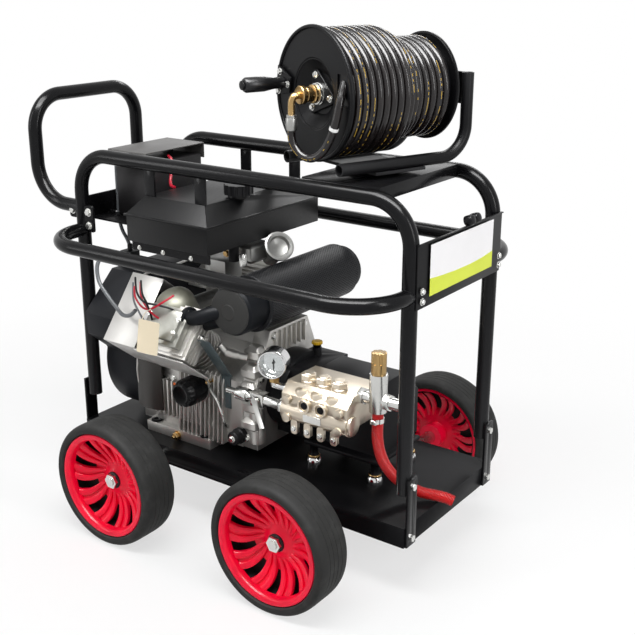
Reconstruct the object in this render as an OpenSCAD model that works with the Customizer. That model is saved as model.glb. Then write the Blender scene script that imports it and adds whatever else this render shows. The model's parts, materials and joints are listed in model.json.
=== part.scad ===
// A drain jetter: a V-twin engine drives a triplex pump on a four-wheel cage trolley,
// with a battery at the push handle, a fuel tank under the rails and a hose reel on a swivel deck.
// Lengths are in millimetres. x runs to the panel end, -y to the pump head side, z up from the floor.

/* [Cage] */
// Outside diameter of the cage tubes
tube_d = 32; // [28:1:36]
// Wall of the cage tubes
tube_wall = 2.5; // [1.5:0.5:4]
// Length between the upright axes
cage_length = 890; // [880:5:940]
// Width between the upright axes
cage_width = 332; // [324:2:344]
// Height of the top rail axes
cage_top = 840; // [836:2:870]
// Height of the lower ends of the uprights
cage_foot = 245; // [235:5:270]
// Bend radius of the arches
cage_bend = 88; // [60:4:120]
// Height of the bumper rail axes
bumper_height = 661; // [630:5:680]
// Reach of the bumper rails out from the upright axes
bumper_reach = 134; // [128:2:150]
// Bend radius of the bumper rails
bumper_bend = 112; // [80:4:120]

/* [Base] */
// Height of the tray top
tray_top = 178; // [170:1:180]
// Depth of the tray sides
tray_depth = 45; // [40:1:52]
// Reach of the tray sides out from the upright axes
tray_side = 22; // [18:1:40]
// Thickness of the tray sheet
sheet_t = 4; // [2:0.5:5]
// Thickness of the straps
strap_t = 5; // [3:0.5:8]
// Width of the straps
strap_w = 34; // [24:1:40]

/* [Wheels] */
// Diameter of the wheels over the tyres
wheel_d = 290; // [276:2:300]
// Width of the tyres
tyre_width = 94; // [84:2:100]
// Height of the tyre wall
tyre_wall = 22; // [18:1:28]
// Distance between the wheel axes
wheelbase = 465; // [420:5:520]
// Distance between the middles of the wheels of one axle
wheel_track = 662; // [650:2:720]
// Diameter of the axles
axle_d = 20; // [16:1:22]

/* [Push handle] */
// Reach of the handle back from the upright axes
handle_reach = 147; // [136:1:180]
// Height of the handle feet
handle_foot = 714; // [706:2:740]
// Height of the handle grip
handle_top = 957; // [930:5:1040]
// Bend radius above the handle feet
handle_low_bend = 90; // [60:5:110]
// Bend radius at the ends of the grip
handle_high_bend = 80; // [60:5:110]

/* [Battery and tank] */
// Height of the battery shelf
shelf_height = 684; // [660:2:690]
// Height of the battery
battery_height = 130; // [110:1:130]
// Width of the battery across the cage
battery_width = 176; // [160:2:200]
// Length of the fuel tank
tank_length = 236; // [200:2:240]
// Width of the fuel tank across the cage
tank_width = 400; // [360:4:420]
// Height of the fuel tank bottom
tank_low = 668; // [660:2:690]
// Height of the tank sides below the chamfer
tank_side = 62; // [50:2:70]
// Rise of the tank chamfer
tank_rise = 38; // [20:2:40]
// Diameter of the fuel cap
fuel_cap_d = 60; // [48:2:70]

/* [Engine] */
// Height of the crankshaft axis
crank_height = 325; // [322:1:328]
// Diameter of the crankshaft
crank_d = 35; // [28:1:40]
// Lean of each cylinder from upright
bank_angle = 52; // [48:1:54]
// Distance from the crankshaft axis to the cylinder seats
seat_dist = 120; // [112:1:122]
// Length of each finned barrel
barrel_length = 92; // [88:1:96]
// Diameter of the cylinder fins
fin_d = 98; // [92:2:100]
// Radius of the fan case
fan_case_r = 142; // [132:1:143]
// Half width of the fan case over the cylinders
blower_half = 200; // [190:2:210]
// Diameter of the oil filter
filter_d = 66; // [62:1:76]
// Length of the oil filter
filter_length = 62; // [56:2:95]

/* [Muffler] */
// Diameter of the muffler
muffler_d = 110; // [96:2:116]
// Length of the muffler
muffler_length = 436; // [400:4:450]
// Gap between the muffler and its guard
guard_gap = 7; // [5:1:10]

/* [Pump] */
// Width of the pump along the shaft
pump_width = 170; // [166:1:180]
// Spacing of the valve caps
cap_pitch = 40; // [36:1:42]
// Across flats of the valve caps
cap_flats = 30; // [24:1:32]
// Diameter of the pressure gauge
gauge_d = 63; // [50:1:70]
// Diameter of the inlet spigot
inlet_d = 26; // [20:1:28]
// Length of the inlet spigot
inlet_length = 30; // [24:1:36]
// Diameter of the unloader body
unloader_d = 38; // [34:1:40]
// Length of the valve lever
lever_length = 62; // [40:2:70]

/* [Reel] */
// Height of the reel axis
reel_height = 1016; // [1008:2:1040]
// Turn of the reel on its deck at rest
reel_turn = 20; // [-30:5:30]
// Diameter of the crank-side flange of the reel
flange_d = 262; // [258:2:270]
// Diameter of the far flange of the reel
far_flange_d = 218; // [216:2:262]
// Width of the reel between its flanges
reel_width = 276; // [274:2:300]
// Diameter of the reel hose
hose_d = 16; // [15:0.5:16]
// Loops of the outer layer of hose
hose_loops = 15; // [12:1:15]
// Diameter of the stand tubes
stand_d = 25; // [20:1:28]
// Length of the crank grip
grip_length = 92; // [80:2:110]

/* [Suction hose] */
// Outside diameter of the ribbed hose
ribbed_d = 24; // [22:1:25]
// Ribs of the ribbed hose
ribbed_ribs = 84; // [40:2:100]

/* [Hidden] */
$fn = 64;
overrun = 1;
run_fit = 0.05;
seat_gap = 0.3;

// Frame places
bolt_flats = 13;
bolt_head = 5.3;
bolt_d = 8;
end_reach = tube_d / 2 + strap_t + bolt_head;
cage_x = (handle_reach + tube_d / 2 - end_reach) / 2;
upright_rear = cage_x - cage_length / 2;
upright_front = cage_x + cage_length / 2;
upright_y = cage_width / 2;
rail_inner = upright_y - tube_d / 2;
tray_rear = upright_rear - tube_d / 2;
tray_front = upright_front + tube_d / 2;
tray_half = upright_y + tray_side;
tray_low = tray_top - tray_depth;
strap_lap = 38;
strap_high = cage_foot + strap_lap;
strap_bolt_rise = 20;
flange_bolt_rise = 17;
panel_low = 636;
panel_high = 764;
panel_t = 2.5;
panel_over = 6;
panel_half = upright_y + panel_over;
panel_lip = 6;

// Wheel places
wheel_shift = 18;
axle_rear = cage_x + wheel_shift - wheelbase / 2;
axle_front = cage_x + wheel_shift + wheelbase / 2;
rim_r = wheel_d / 2 - tyre_wall;
rim_wall = 6;
rim_inset = 3;
rim_half = tyre_width / 2 - rim_inset;
hub_r = 30;
hub_out = 4;
hub_ring_r = 44;
dish_in = -6;
dish_out = 26;
dish_t = 9;
lip_depth = 18;
lip_r = rim_r - lip_depth;
window_low = 52;
window_rim = 6;
window_high = lip_r - window_rim;
window_count = 20;
window_turn = 10;
window_inner = 5;
window_outer = 9;
tyre_shoulder = 12;
collar_r = 15;
axle_tail = 15;
nut_flats = 30;
nut_t = 12;

// Battery and tank places
shelf_t = 4;
plate_t = 5;
plate_rise = 54;
plate_x = upright_rear - plate_t / 2;
battery_x = -340;
battery_length = 110;
battery_near = -battery_width / 2;
post_r = 9;
post_rise = 14;
post_inset = 26;
lid_gap = 9;
lid_t = 3;
lid_drop = 34;
lid_side = 12;
relay_x = -354;
relay_size = [36, 30, 38];
relay_y = -78;
notch_size = [24, 24];
tank_x = -199;
tank_inset = 32;
tank_flange = 6;
tank_flange_t = 5;
tank_top = tank_low + tank_side + tank_rise;
neck_r = 24;
neck_rise = 6;
cap_rise = 22;
cap_x = 6;
cap_y = -56;
cap_ribs = 12;
cap_rib_r = 3;
hanger_w = 30;
hanger_t = 5;
hanger_inset = 44;

// Engine places
engine_rear = -250;
engine_front = 60;
cover_front = 100;
foot_rear = -226;
foot_front = -25;
foot_half = 143;
foot_t = 25;
seat_half = 48;
case_half = seat_dist * sin(bank_angle) + seat_half * cos(bank_angle);
case_step = seat_dist * cos(bank_angle) - seat_half * sin(bank_angle);
case_top_half = seat_dist * sin(bank_angle) - seat_half * cos(bank_angle);
case_top = seat_dist * cos(bank_angle) + seat_half * sin(bank_angle);
case_low = tray_top + foot_t;
cover_inset = 4;
cover_half = case_half - cover_inset;
cover_top_half = 70;
cover_rise = 152;
rib_t = 5;
rib_depth = 12;
rib_pitch = 14;
rib_count = 11;
rib_rear = -205;
rib_low = 228;
rib_high = 320;
near_cylinder = -72;
far_cylinder = -112;
barrel_r = 40;
fin_t = 3.5;
fin_count = 7;
head_half = 65;
head_width = 54;
head_height = 57;
head_fin = 6;
head_fin_t = 4;
head_fins = 4;
rocker_inset = 10;
rocker_height = 30;
rocker_wall = 10;
head_seat = seat_dist + barrel_length;
rocker_seat = head_seat + head_height;
shroud_t = 2.5;
shroud_low = 140;
shroud_high = 262;
shroud_outer = 64;
shroud_inner = 108;
shroud_gap = 8;
blower_rear = -356;
blower_wall = 4;
fan_gap = 14;
fan_r = fan_case_r - fan_gap;
inlet_rim = 28;
inlet_r = fan_case_r - inlet_rim;
guard_t = 8;
guard_ring = 9;
guard_bars = 6;
guard_bar = 5;
blower_shares = [[0.6, 0], [0.7, 0.18], [0.98, 0.39], [1, 0.62], [0.53, 1], [-0.53, 1], [-1, 0.62],
    [-0.98, 0.39], [-0.7, 0.18], [-0.6, 0]];
blower_rise = 230;
fan_hub_r = 30;
fan_plate_t = 5;
fan_depth = 40;
fan_blades = 12;
blade_t = 3;
fan_inset = 24;
fan_rear = blower_rear + fan_inset;
shaft_front = 150;
filter_x = -58;
filter_rise = 3;
filter_z = crank_height + filter_rise;
filter_rim = 2;
filter_boss_r = filter_d / 2 + filter_rim;
filter_boss = 16;
filter_dome = 8;
intake_r = 17;
intake_x = -92;
intake_rise = 190;
carb_half = 30;
carb_rise = 86;
carb_bowl_r = 20;
carb_bowl_drop = 34;
shield_x = -28;
shield_step = 30;
shield_foot = 26;
shield_wide = 62;
shield_low = -35;
shield_bend = 48;
shield_out = 74;
shield_up = 150;
shield_t = 3;
starter_r = 32;
starter_length = 140;
starter_x = -240;
starter_drop = 50;

// Muffler places
muffler_x = 82;
muffler_z = 550;
muffler_near = -187;
muffler_dome = 10;
pipe_r = 16;
pipe_low = 150;
pipe_y = 165;
pipe_gap = 2;
guard_sheet = 2;
guard_start = 70;
guard_stop = 34;
guard_foot = 8;

// Gearbox and pump places
gear_r = 92;
gear_front = 206;
gear_step = 150;
gear_lap = 38;
gear_near = -62;
gear_far = 84;
gear_low = 238;
gear_high = 400;
stick_x = 150;
stick_y = 40;
stick_neck_r = 11;
stick_neck = 18;
stick_r = 3;
stick_hole_r = 3.6;
stick_drop = 110;
stick_head_r = 13;
stick_head = 15;
pump_rear = gear_front;
pump_front = pump_rear + pump_width;
pump_mid = (pump_rear + pump_front) / 2;
pump_near = -45;
pump_far = 120;
pump_low = 236;
pump_high = 404;
pump_slope = 60;
pump_foot_t = 10;
pump_foot_out = 16;
mount_rear_inset = 2;
mount_front_inset = 4;
mount_rear = pump_rear + mount_rear_inset;
mount_front = pump_front - mount_front_inset;
mount_near = -52;
mount_far = 92;
mount_dome_r = 18;
mount_dome = 20;
mount_ring_r = 14;
mount_ring = 4;
mount_neck_r = 10;
mount_top = pump_low - pump_foot_t;
head_near = -168;
head_low = 340;
head_high = 412;
head_bevel = 22;
gallery_r = 25;
gallery_y = -150;
gallery_z = 350;
gallery_out = 4;
boss_r = 15;
boss_out = 6;
boss_spread = 21;
boss_z = 376;
ear_r = 10;
ear_out = 8;
ear_spread = 66;
cap_row_y = -130;
cap_neck_r = 13;
cap_neck = 5;
cap_top = 18;
gauge_x = 166;
gauge_y = -140;
gauge_z = 442;
gauge_turn = 22;
gauge_depth = 30;
gauge_rim = 4;
gauge_well = 9;
gauge_glass_t = 2;
needle_long = 20;
needle_tail = 8;
needle_w = 2;
needle_t = 0.8;
needle_hub_r = 3;
needle_hub = 2.6;
needle_pin_r = 1.2;
needle_pin = 5;
stem_r = 8;
stem_z = 388;
stem_flats = 20;
tee_y = -118;
tee_z = 408;
tee_x = 418;
tee_r = 13;
tee_low = 383;
body_high = 466;
barb_r = 8.5;
barb_low = 346;
stem_pin_r = 5;
stem_pin = 30;
knob_r = 16;
knob_high = 46;
knob_flutes = 8;
flute_r = 3;
nut_length = 12;
tee_flats = 32;
outlet_rear = 40;
outlet_r = 11;
outlet_collar_r = 15;
outlet_tip_r = 8;
outlet_tip = 30;
valve_x = 132;
valve_size = [34, 26, 30];
lever_pin_r = 4;
lever_w = 14;
lever_t = 3;
lever_gap = 5;
lever_lean = 20;

// Reel places
deck_rear = 248;
deck_front = 432;
deck_top = cage_top + tube_d / 2;
deck_drop = 28;
reel_x = 310;
turn_r = 66;
turn_h = 8;
pivot_r = 12;
stand_z = deck_top + turn_h + seat_gap;
stand_plate_t = 6;
stand_plate_half = 62;
stand_half = 92;
stand_sink = 1.5;
stand_near = 142;
stand_bend = 62;
stand_gap = 38;
bar_half = 32;
bar_t = 6;
drum_half = reel_width / 2;
stand_far = drum_half + stand_gap;
stand_axis = stand_z + stand_plate_t + stand_d / 2 - stand_sink;
reel_axle_r = 15;
reel_hub_r = 30;
core_r = 70;
core_wall = 4;
flange_t = 3;
flange_dish = 20;
dish_r = 40;
bead_r = 4;
slot_size = [36, 58];
slot_x = 97;
slot_z = 16;
layer_r = 118;
layer_drop = 24;
layer_gap = 1.5;
layer_share = 0.5;
layer_fade = 3;
hose_gap = 0.7;
hose_inset = 1.2;
hose_pitch = hose_d + hose_gap;
winding_start = 180;
hose_first = -drum_half + flange_t + hose_d / 2 + hose_inset;
ring_per_loop = 24;
hose_sides = 6;
fill_gap = 1;
swivel_r = 20;
swivel_base = 14;
swivel_flats = 34;
swivel_nut = 22;
swivel_neck_r = 13;
swivel_reach = 69;
elbow_tip = [-4, -36];
elbow_r = 10;
knuckle_r = 15;
ferrule_r = 11.5;
ferrule_gap = 0.7;
nozzle_r = hose_d / 2;
nozzle_length = 46;
bracket_t = 4;
bracket_r = 98;
bracket_angle = 172;
bracket_low = 24;
bracket_high = 24;
bracket_half = 30;
pin_r = 6;
pin_head_r = 9;
pin_head = 4;
grip_r = 15;
grip_waist = 11.5;
grip_gap = 0.6;

// Route of the short reel hose, from the ferrule to the flange slot: across, out from the near flange, up
tail_route = [[-4, swivel_reach - flange_dish, -66], [-4, swivel_reach - flange_dish, -80], [2, 47, -96],
    [18, 42, -111], [40, 35, -116], [61, 28, -107], [78, 22, -87], [91, 18, -60], [99, 15, -34], [102, 11, -8],
    [98, 2, 13], [94, -6, 30]];
tail_steps = [for (p = tail_route) [p[0], -drum_half - p[1], p[2]]];
// Route of the ribbed hose, from the top of the barb to its open end
ribbed_steps = [[0, 0, 0], [0, 0, -26], [0, 0, -58], [4, 4, -92], [14, 12, -124], [30, 25, -152],
    [52, 41, -173], [78, 56, -186], [104, 68, -190], [124, 76, -193], [140, 82, -199]];
// Route of the battery cable, from the battery post to the relay
cable_d = 9;
cable_steps = [[0, 0, 0], [-14, 0, 0], [-24, 0, -2], [-35, 0, -9], [-42, 0, -20], [-44, 0, -34],
    [-44, 0, -90], [-44, 0, -150], [-42, 0, -168], [-34, 0, -188], [-22, 0, -204], [-14, 0, -220],
    [-13, 0, -232]];

// Shared shapes
module ring(d, wall) {
    difference() {
        circle(d = d);
        circle(d = d - 2 * wall);
    }
}

module run(length) {
    rotate([0, 90, 0]) linear_extrude(length) ring($pipe_d, $pipe_wall);
    translate([length, 0, 0]) children();
}

module bend(radius, angle) {
    translate([0, radius, 0]) rotate([0, 0, -90]) rotate_extrude(angle = angle)
        translate([radius, 0]) ring($pipe_d, $pipe_wall);
    translate([radius * sin(angle), radius * (1 - cos(angle)), 0]) rotate([0, 0, angle]) children();
}

module rod(from, to, r) {
    step = to - from;
    translate(from) rotate([0, acos(step[2] / norm(step)), atan2(step[1], step[0])])
        cylinder(r = r, h = norm(step));
}

module hex(flats, h) {
    cylinder(d = flats / cos(30), h = h, $fn = 6);
}

module bolt(shank) {
    hex(bolt_flats, bolt_head);
    translate([0, 0, -shank]) cylinder(d = bolt_d, h = shank + overrun);
}

function unit(v) = v / norm(v);
function tangent(p, i) = unit(p[min(i + 1, len(p) - 1)] - p[max(i - 1, 0)]);
function square_to(v, t) = unit(v - (v * t) * t);
function sides_along(p, first) = [for (i = 0, s = square_to(first, tangent(p, 0)); i < len(p);
    i = i + 1, s = i < len(p) ? square_to(s, tangent(p, i)) : s) s];
function ring_points(c, t, s, r, n) = [for (k = [0:n - 1])
    c + r * (cos(360 * k / n) * s + sin(360 * k / n) * cross(t, s))];
function smooth_at(p, u) = let (i = min(floor(u), len(p) - 2), f = u - i,
    a = p[max(i - 1, 0)], b = p[i], c = p[i + 1], d = p[min(i + 2, len(p) - 1)])
    0.5 * (2 * b + (c - a) * f + (2 * a - 5 * b + 4 * c - d) * f * f
    + (3 * b - a - 3 * c + d) * f * f * f);
function smooth(p, n) = [for (k = [0:n]) smooth_at(p, (len(p) - 1) * k / n)];
function skin_faces(rings, n, from) = [for (i = [0:rings - 2], k = [0:n - 1], h = [0, 1])
    let (a = from + i * n + k, b = from + i * n + (k + 1) % n)
    h == 0 ? [a, a + n, b] : [b, a + n, b + n]];

module cord_form(p, r, n, first) {
    s = sides_along(p, first);
    points = [for (i = [0:len(p) - 1]) each ring_points(p[i], tangent(p, i), s[i], r, n)];
    last = len(p) - 1;
    polyhedron(points, concat(skin_faces(len(p), n, 0),
        [[for (k = [0:n - 1]) k]], [[for (k = [0:n - 1]) last * n + n - 1 - k]]));
}

// Frame
module base_tray() {
    color("#15161a") difference() {
        translate([tray_rear, -tray_half, tray_low])
            cube([tray_front - tray_rear, 2 * tray_half, tray_depth]);
        translate([tray_rear + sheet_t, -tray_half + sheet_t, tray_low - overrun])
            cube([tray_front - tray_rear - 2 * sheet_t, 2 * (tray_half - sheet_t),
                tray_depth - sheet_t + overrun]);
        for (x = [axle_rear, axle_front]) translate([x, 0, wheel_d / 2]) rotate([90, 0, 0])
            cylinder(d = axle_d, h = 2 * (tray_half + overrun), center = true);
    }
}

module axles() {
    inner = wheel_track / 2 - tyre_width / 2 - seat_gap;
    outer = wheel_track / 2 + hub_out + axle_tail;
    color("#9a9ca0") for (x = [axle_rear, axle_front]) translate([x, 0, wheel_d / 2]) {
        rotate([90, 0, 0]) cylinder(d = axle_d, h = 2 * outer, center = true);
        for (side = [-1, 1]) rotate([-90 * side, 0, 0]) translate([0, 0, tray_half])
            cylinder(r = collar_r, h = inner - tray_half);
    }
}

module strap_bolts() {
    for (end = [-1, 1], side = [-1, 1], z = [cage_foot + strap_bolt_rise, tray_low + flange_bolt_rise])
        translate([end < 0 ? tray_rear - strap_t : tray_front + strap_t, side * upright_y, z])
            rotate([0, 90 * end, 0]) children();
}

module frame_straps() {
    hanger_low = tank_top;
    hanger_high = cage_top - tube_d / 2;
    color("#17181c") {
        difference() {
            for (end = [-1, 1], side = [-1, 1])
                translate([end < 0 ? tray_rear - strap_t : tray_front, side * upright_y - strap_w / 2, tray_low])
                    cube([strap_t, strap_w, strap_high - tray_low]);
            strap_bolts() translate([0, 0, -strap_t - overrun]) cylinder(d = bolt_d, h = strap_t + 2 * overrun);
        }
        for (x = [tank_x + hanger_inset, tank_x + tank_length - hanger_inset], side = [-1, 1])
            translate([x - hanger_w / 2, side * upright_y - hanger_t / 2, hanger_low])
                cube([hanger_w, hanger_t, hanger_high - hanger_low]);
    }
}

module side_arch() {
    $pipe_d = tube_d;
    $pipe_wall = tube_wall;
    rise = cage_top - cage_foot - cage_bend;
    translate([upright_rear, 0, cage_foot]) rotate([90, 0, 0]) rotate([0, 0, 90]) mirror([0, 1, 0])
        run(rise) bend(cage_bend, 90) run(cage_length - 2 * cage_bend) bend(cage_bend, 90) run(rise);
}

module side_arch_near() {
    color("#131418") translate([0, -upright_y, 0]) side_arch();
}

module side_arch_far() {
    color("#131418") translate([0, upright_y, 0]) side_arch();
}

module upright_space() {
    for (x = [upright_rear, upright_front], side = [-1, 1]) translate([x, side * upright_y, cage_foot])
        cylinder(d = tube_d, h = cage_top - cage_foot - cage_bend);
}

module bumper() {
    $pipe_d = tube_d;
    $pipe_wall = tube_wall;
    difference() {
        translate([upright_rear, -upright_y, bumper_height]) rotate([0, 0, -90])
            run(bumper_reach - bumper_bend) bend(bumper_bend, 90) run(cage_length - 2 * bumper_bend)
            bend(bumper_bend, 90) run(bumper_reach - bumper_bend);
        upright_space();
    }
}

module bumper_near() {
    color("#131418") bumper();
}

module bumper_far() {
    color("#131418") mirror([0, 1, 0]) bumper();
}

module handle_side() {
    $pipe_d = tube_d;
    $pipe_wall = tube_wall;
    foot = handle_reach - handle_low_bend;
    rise = handle_top - handle_foot - handle_low_bend - handle_high_bend;
    difference() {
        translate([upright_rear, -upright_y, handle_foot]) rotate([90, 0, 180])
            run(foot) bend(handle_low_bend, 90) run(rise);
        upright_space();
    }
    translate([upright_rear - handle_reach, -upright_y, handle_top - handle_high_bend]) rotate([90, 0, 90])
        rotate([0, 0, 90]) mirror([0, 1, 0]) bend(handle_high_bend, 90) run(cage_width / 2 - handle_high_bend);
}

module push_handle() {
    color("#131418") {
        handle_side();
        mirror([0, 1, 0]) handle_side();
    }
}

module rear_cross_plate() {
    color("#1a1b1f") difference() {
        union() {
            translate([plate_x, -rail_inner, shelf_height]) cube([plate_t, 2 * rail_inner, plate_rise]);
            translate([plate_x, -rail_inner + sheet_t, shelf_height])
                cube([battery_x + battery_length + shelf_t - plate_x, 2 * (rail_inner - sheet_t), shelf_t]);
        }
        translate([cable_start()[0] + cable_steps[6][0] - notch_size[0] / 2,
            cable_start()[1] - notch_size[1] / 2, shelf_height - overrun])
            cube([notch_size[0], notch_size[1], shelf_t + 2 * overrun]);
    }
}

module front_panel() {
    color("#111216") {
        translate([tray_front, -panel_half, panel_low]) cube([panel_t, 2 * panel_half, panel_high - panel_low]);
        translate([tray_front, -panel_half, panel_high - panel_t]) cube([panel_lip, 2 * panel_half, panel_t]);
    }
}

module frame_fasteners() {
    color("#b9bbbe") {
        strap_bolts() bolt(strap_t);
        for (x = [axle_rear, axle_front], side = [-1, 1]) translate([x, 0, wheel_d / 2])
            rotate([-90 * side, 0, 0]) translate([0, 0, wheel_track / 2 + hub_out + seat_gap]) difference() {
                hex(nut_flats, nut_t);
                translate([0, 0, -overrun]) cylinder(d = axle_d, h = nut_t + 2 * overrun);
            }
    }
}

// Wheels
module wheel_at(x, side) {
    translate([x, side * wheel_track / 2, wheel_d / 2]) rotate([-90 * side, 0, 0]) children();
}

module rim() {
    color("#d3123a") difference() {
        rotate_extrude() polygon([[axle_d / 2 + run_fit, -tyre_width / 2], [hub_r, -tyre_width / 2],
            [hub_r, dish_in - dish_t], [hub_ring_r, dish_in - dish_t], [lip_r, dish_out - dish_t],
            [rim_r - rim_wall, dish_out - dish_t], [rim_r - rim_wall, -rim_half], [rim_r, -rim_half],
            [rim_r, rim_half], [lip_r, rim_half], [lip_r, dish_out], [hub_ring_r, dish_in], [hub_r, dish_in],
            [hub_r, hub_out], [axle_d / 2 + run_fit, hub_out]]);
        for (i = [0:window_count - 1]) rotate([0, 0, 360 * i / window_count])
            translate([0, 0, -tyre_width / 2]) linear_extrude(tyre_width) polygon([
                [window_low * cos(-window_inner), window_low * sin(-window_inner)],
                [window_high * cos(window_turn - window_outer / 2), window_high * sin(window_turn - window_outer / 2)],
                [window_high * cos(window_turn + window_outer / 2), window_high * sin(window_turn + window_outer / 2)],
                [window_low * cos(window_inner), window_low * sin(window_inner)]]);
    }
}

module tyre() {
    r = wheel_d / 2;
    h = tyre_width / 2;
    color("#1b1b1c") rotate_extrude() polygon([[rim_r, -rim_half], [rim_r + tyre_shoulder / 2, -h],
        [r - tyre_shoulder, -h], [r - tyre_shoulder / 3, -h + tyre_shoulder / 3], [r, -h + tyre_shoulder],
        [r, h - tyre_shoulder], [r - tyre_shoulder / 3, h - tyre_shoulder / 3], [r - tyre_shoulder, h],
        [rim_r + tyre_shoulder / 2, h], [rim_r, rim_half]]);
}

module rim_rear_near() { wheel_at(axle_rear, -1) rim(); }
module rim_rear_far() { wheel_at(axle_rear, 1) rim(); }
module rim_front_near() { wheel_at(axle_front, -1) rim(); }
module rim_front_far() { wheel_at(axle_front, 1) rim(); }
module tyre_rear_near() { wheel_at(axle_rear, -1) tyre(); }
module tyre_rear_far() { wheel_at(axle_rear, 1) tyre(); }
module tyre_front_near() { wheel_at(axle_front, -1) tyre(); }
module tyre_front_far() { wheel_at(axle_front, 1) tyre(); }

// Battery and tank
battery_low = shelf_height + shelf_t;
battery_high = battery_low + battery_height;
function post_at(i) = [battery_x + post_inset, battery_near + (i == 0 ? post_inset : battery_width - post_inset),
    battery_high];
function cable_start() = post_at(0) + [-post_r, 0, post_rise / 2];

module battery() {
    color("#2a2c30") {
        translate([battery_x, battery_near, battery_low]) cube([battery_length, battery_width, battery_height]);
        for (i = [0, 1]) translate(post_at(i)) translate([-post_r, -post_r, -overrun])
            cube([2 * post_r, 2 * post_r, post_rise + overrun]);
    }
}

module battery_lid() {
    low = battery_high + post_rise + lid_gap;
    wide = battery_width + 2 * lid_side;
    color("#6d7176") {
        translate([battery_x - lid_side, battery_near - lid_side, low])
            cube([battery_length + lid_side, wide, lid_t]);
        for (y = [battery_near - lid_side, battery_near + battery_width + lid_side - lid_t])
            translate([battery_x - lid_side, y, low - lid_drop]) cube([battery_length + lid_side, lid_t, lid_drop + lid_t]);
        for (y = [battery_near - lid_side, battery_near + battery_width])
            translate([battery_x + post_inset, y, low - lid_drop])
                cube([battery_length - 2 * post_inset, lid_side, lid_t]);
    }
}

module battery_cable() {
    color("#c01822") cord_form([for (p = smooth(cable_steps, 30)) p + cable_start()], cable_d / 2, 8, [0, 1, 0]);
}

module fuel_tank() {
    shoulder = tank_low + tank_side;
    color("#17181b") {
        translate([tank_x, -tank_width / 2, tank_low]) cube([tank_length, tank_width, tank_side]);
        translate([tank_x - tank_flange / 2, -tank_width / 2 - tank_flange, shoulder - tank_flange_t])
            cube([tank_length + tank_flange, tank_width + 2 * tank_flange, tank_flange_t]);
        polyhedron([for (v = [0, 1], c = [[0, 0], [1, 0], [1, 1], [0, 1]])
            [tank_x + v * tank_inset + c[0] * (tank_length - 2 * v * tank_inset),
                -tank_width / 2 + v * tank_inset + c[1] * (tank_width - 2 * v * tank_inset),
                shoulder + v * tank_rise]],
            [[0, 1, 2, 3], [7, 6, 5, 4], [0, 4, 5, 1], [1, 5, 6, 2], [2, 6, 7, 3], [3, 7, 4, 0]]);
        translate([cap_x, cap_y, tank_top - overrun]) cylinder(r = neck_r, h = neck_rise + overrun);
    }
}

module fuel_cap() {
    color("#1c1c1e") translate([cap_x, cap_y, tank_top + neck_rise + seat_gap]) {
        cylinder(d = fuel_cap_d, h = cap_rise);
        for (i = [0:cap_ribs - 1]) rotate([0, 0, 360 * i / cap_ribs]) translate([fuel_cap_d / 2, 0, 0])
            cylinder(r = cap_rib_r, h = cap_rise);
    }
}

// Engine
module bank(x, side) {
    translate([x, 0, crank_height]) rotate([-bank_angle * side, 0, 0]) children();
}

module along_x(x) {
    translate([x, 0, crank_height]) rotate([90, 0, 90]) children();
}

module crankcase() {
    low = case_low - crank_height;
    color("#b4b6b8") difference() {
        union() {
            along_x(engine_rear) linear_extrude(engine_front - engine_rear) polygon([[-case_half, low],
                [case_half, low], [case_half, case_step], [case_top_half, case_top], [-case_top_half, case_top],
                [-case_half, case_step]]);
            along_x(engine_front - overrun) linear_extrude(cover_front - engine_front + overrun)
                polygon([[-cover_half, low], [cover_half, low], [cover_half, case_step],
                    [cover_top_half, cover_rise], [-cover_top_half, cover_rise], [-cover_half, case_step]]);
            translate([foot_rear, -foot_half, tray_top]) cube([foot_front - foot_rear, 2 * foot_half, foot_t]);
            for (i = [0:rib_count - 1], side = [-1, 1])
                translate([rib_rear + i * rib_pitch, side < 0 ? -case_half - rib_depth : case_half - overrun, rib_low])
                    cube([rib_t, rib_depth + overrun, rib_high - rib_low]);
            translate([filter_x, -case_top_half, filter_z]) rotate([90, 0, 0])
                cylinder(r = filter_boss_r, h = case_half + filter_boss - case_top_half);
        }
        along_x(engine_rear - overrun) cylinder(r = crank_d / 2 + run_fit,
            h = cover_front - engine_rear + 2 * overrun);
    }
}

module blower_outline() {
    circle(r = fan_case_r);
    polygon([for (p = blower_shares) [p[0] * blower_half, p[1] * blower_rise]]);
}

module blower_housing() {
    depth = engine_rear - blower_rear;
    color("#1b1c20") {
        difference() {
            along_x(blower_rear) linear_extrude(depth) blower_outline();
            along_x(blower_rear + blower_wall) cylinder(r = fan_case_r - blower_wall, h = depth - 2 * blower_wall);
            along_x(blower_rear - overrun) cylinder(r = inlet_r, h = blower_wall + 2 * overrun);
            along_x(blower_rear) cylinder(r = crank_d / 2 + overrun, h = depth + overrun);
        }
        along_x(blower_rear - guard_t) {
            linear_extrude(guard_t) ring(2 * (inlet_r + guard_ring), guard_ring);
            for (i = [0:guard_bars - 1]) rotate([0, 0, 180 * i / guard_bars])
                translate([-inlet_r - overrun, -guard_bar / 2, 0]) cube([2 * (inlet_r + overrun), guard_bar, guard_bar]);
        }
        translate([relay_x, relay_y, crank_height + blower_rise - overrun])
            cube(relay_size + [0, 0, overrun]);
    }
}

module shroud(x, side) {
    length = x - head_half - head_fin - shroud_gap - engine_rear;
    wide = shroud_outer + shroud_inner;
    bank(engine_rear, side) translate([0, side < 0 ? -shroud_outer : -shroud_inner, shroud_low]) difference() {
        cube([length, wide, shroud_high - shroud_low]);
        translate([-overrun, shroud_t, -overrun])
            cube([length + 2 * overrun, wide - 2 * shroud_t, shroud_high - shroud_low - shroud_t + overrun]);
    }
}

module cylinder_shrouds() {
    color("#c9cbcd") {
        shroud(near_cylinder, -1);
        shroud(far_cylinder, 1);
    }
}

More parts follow.
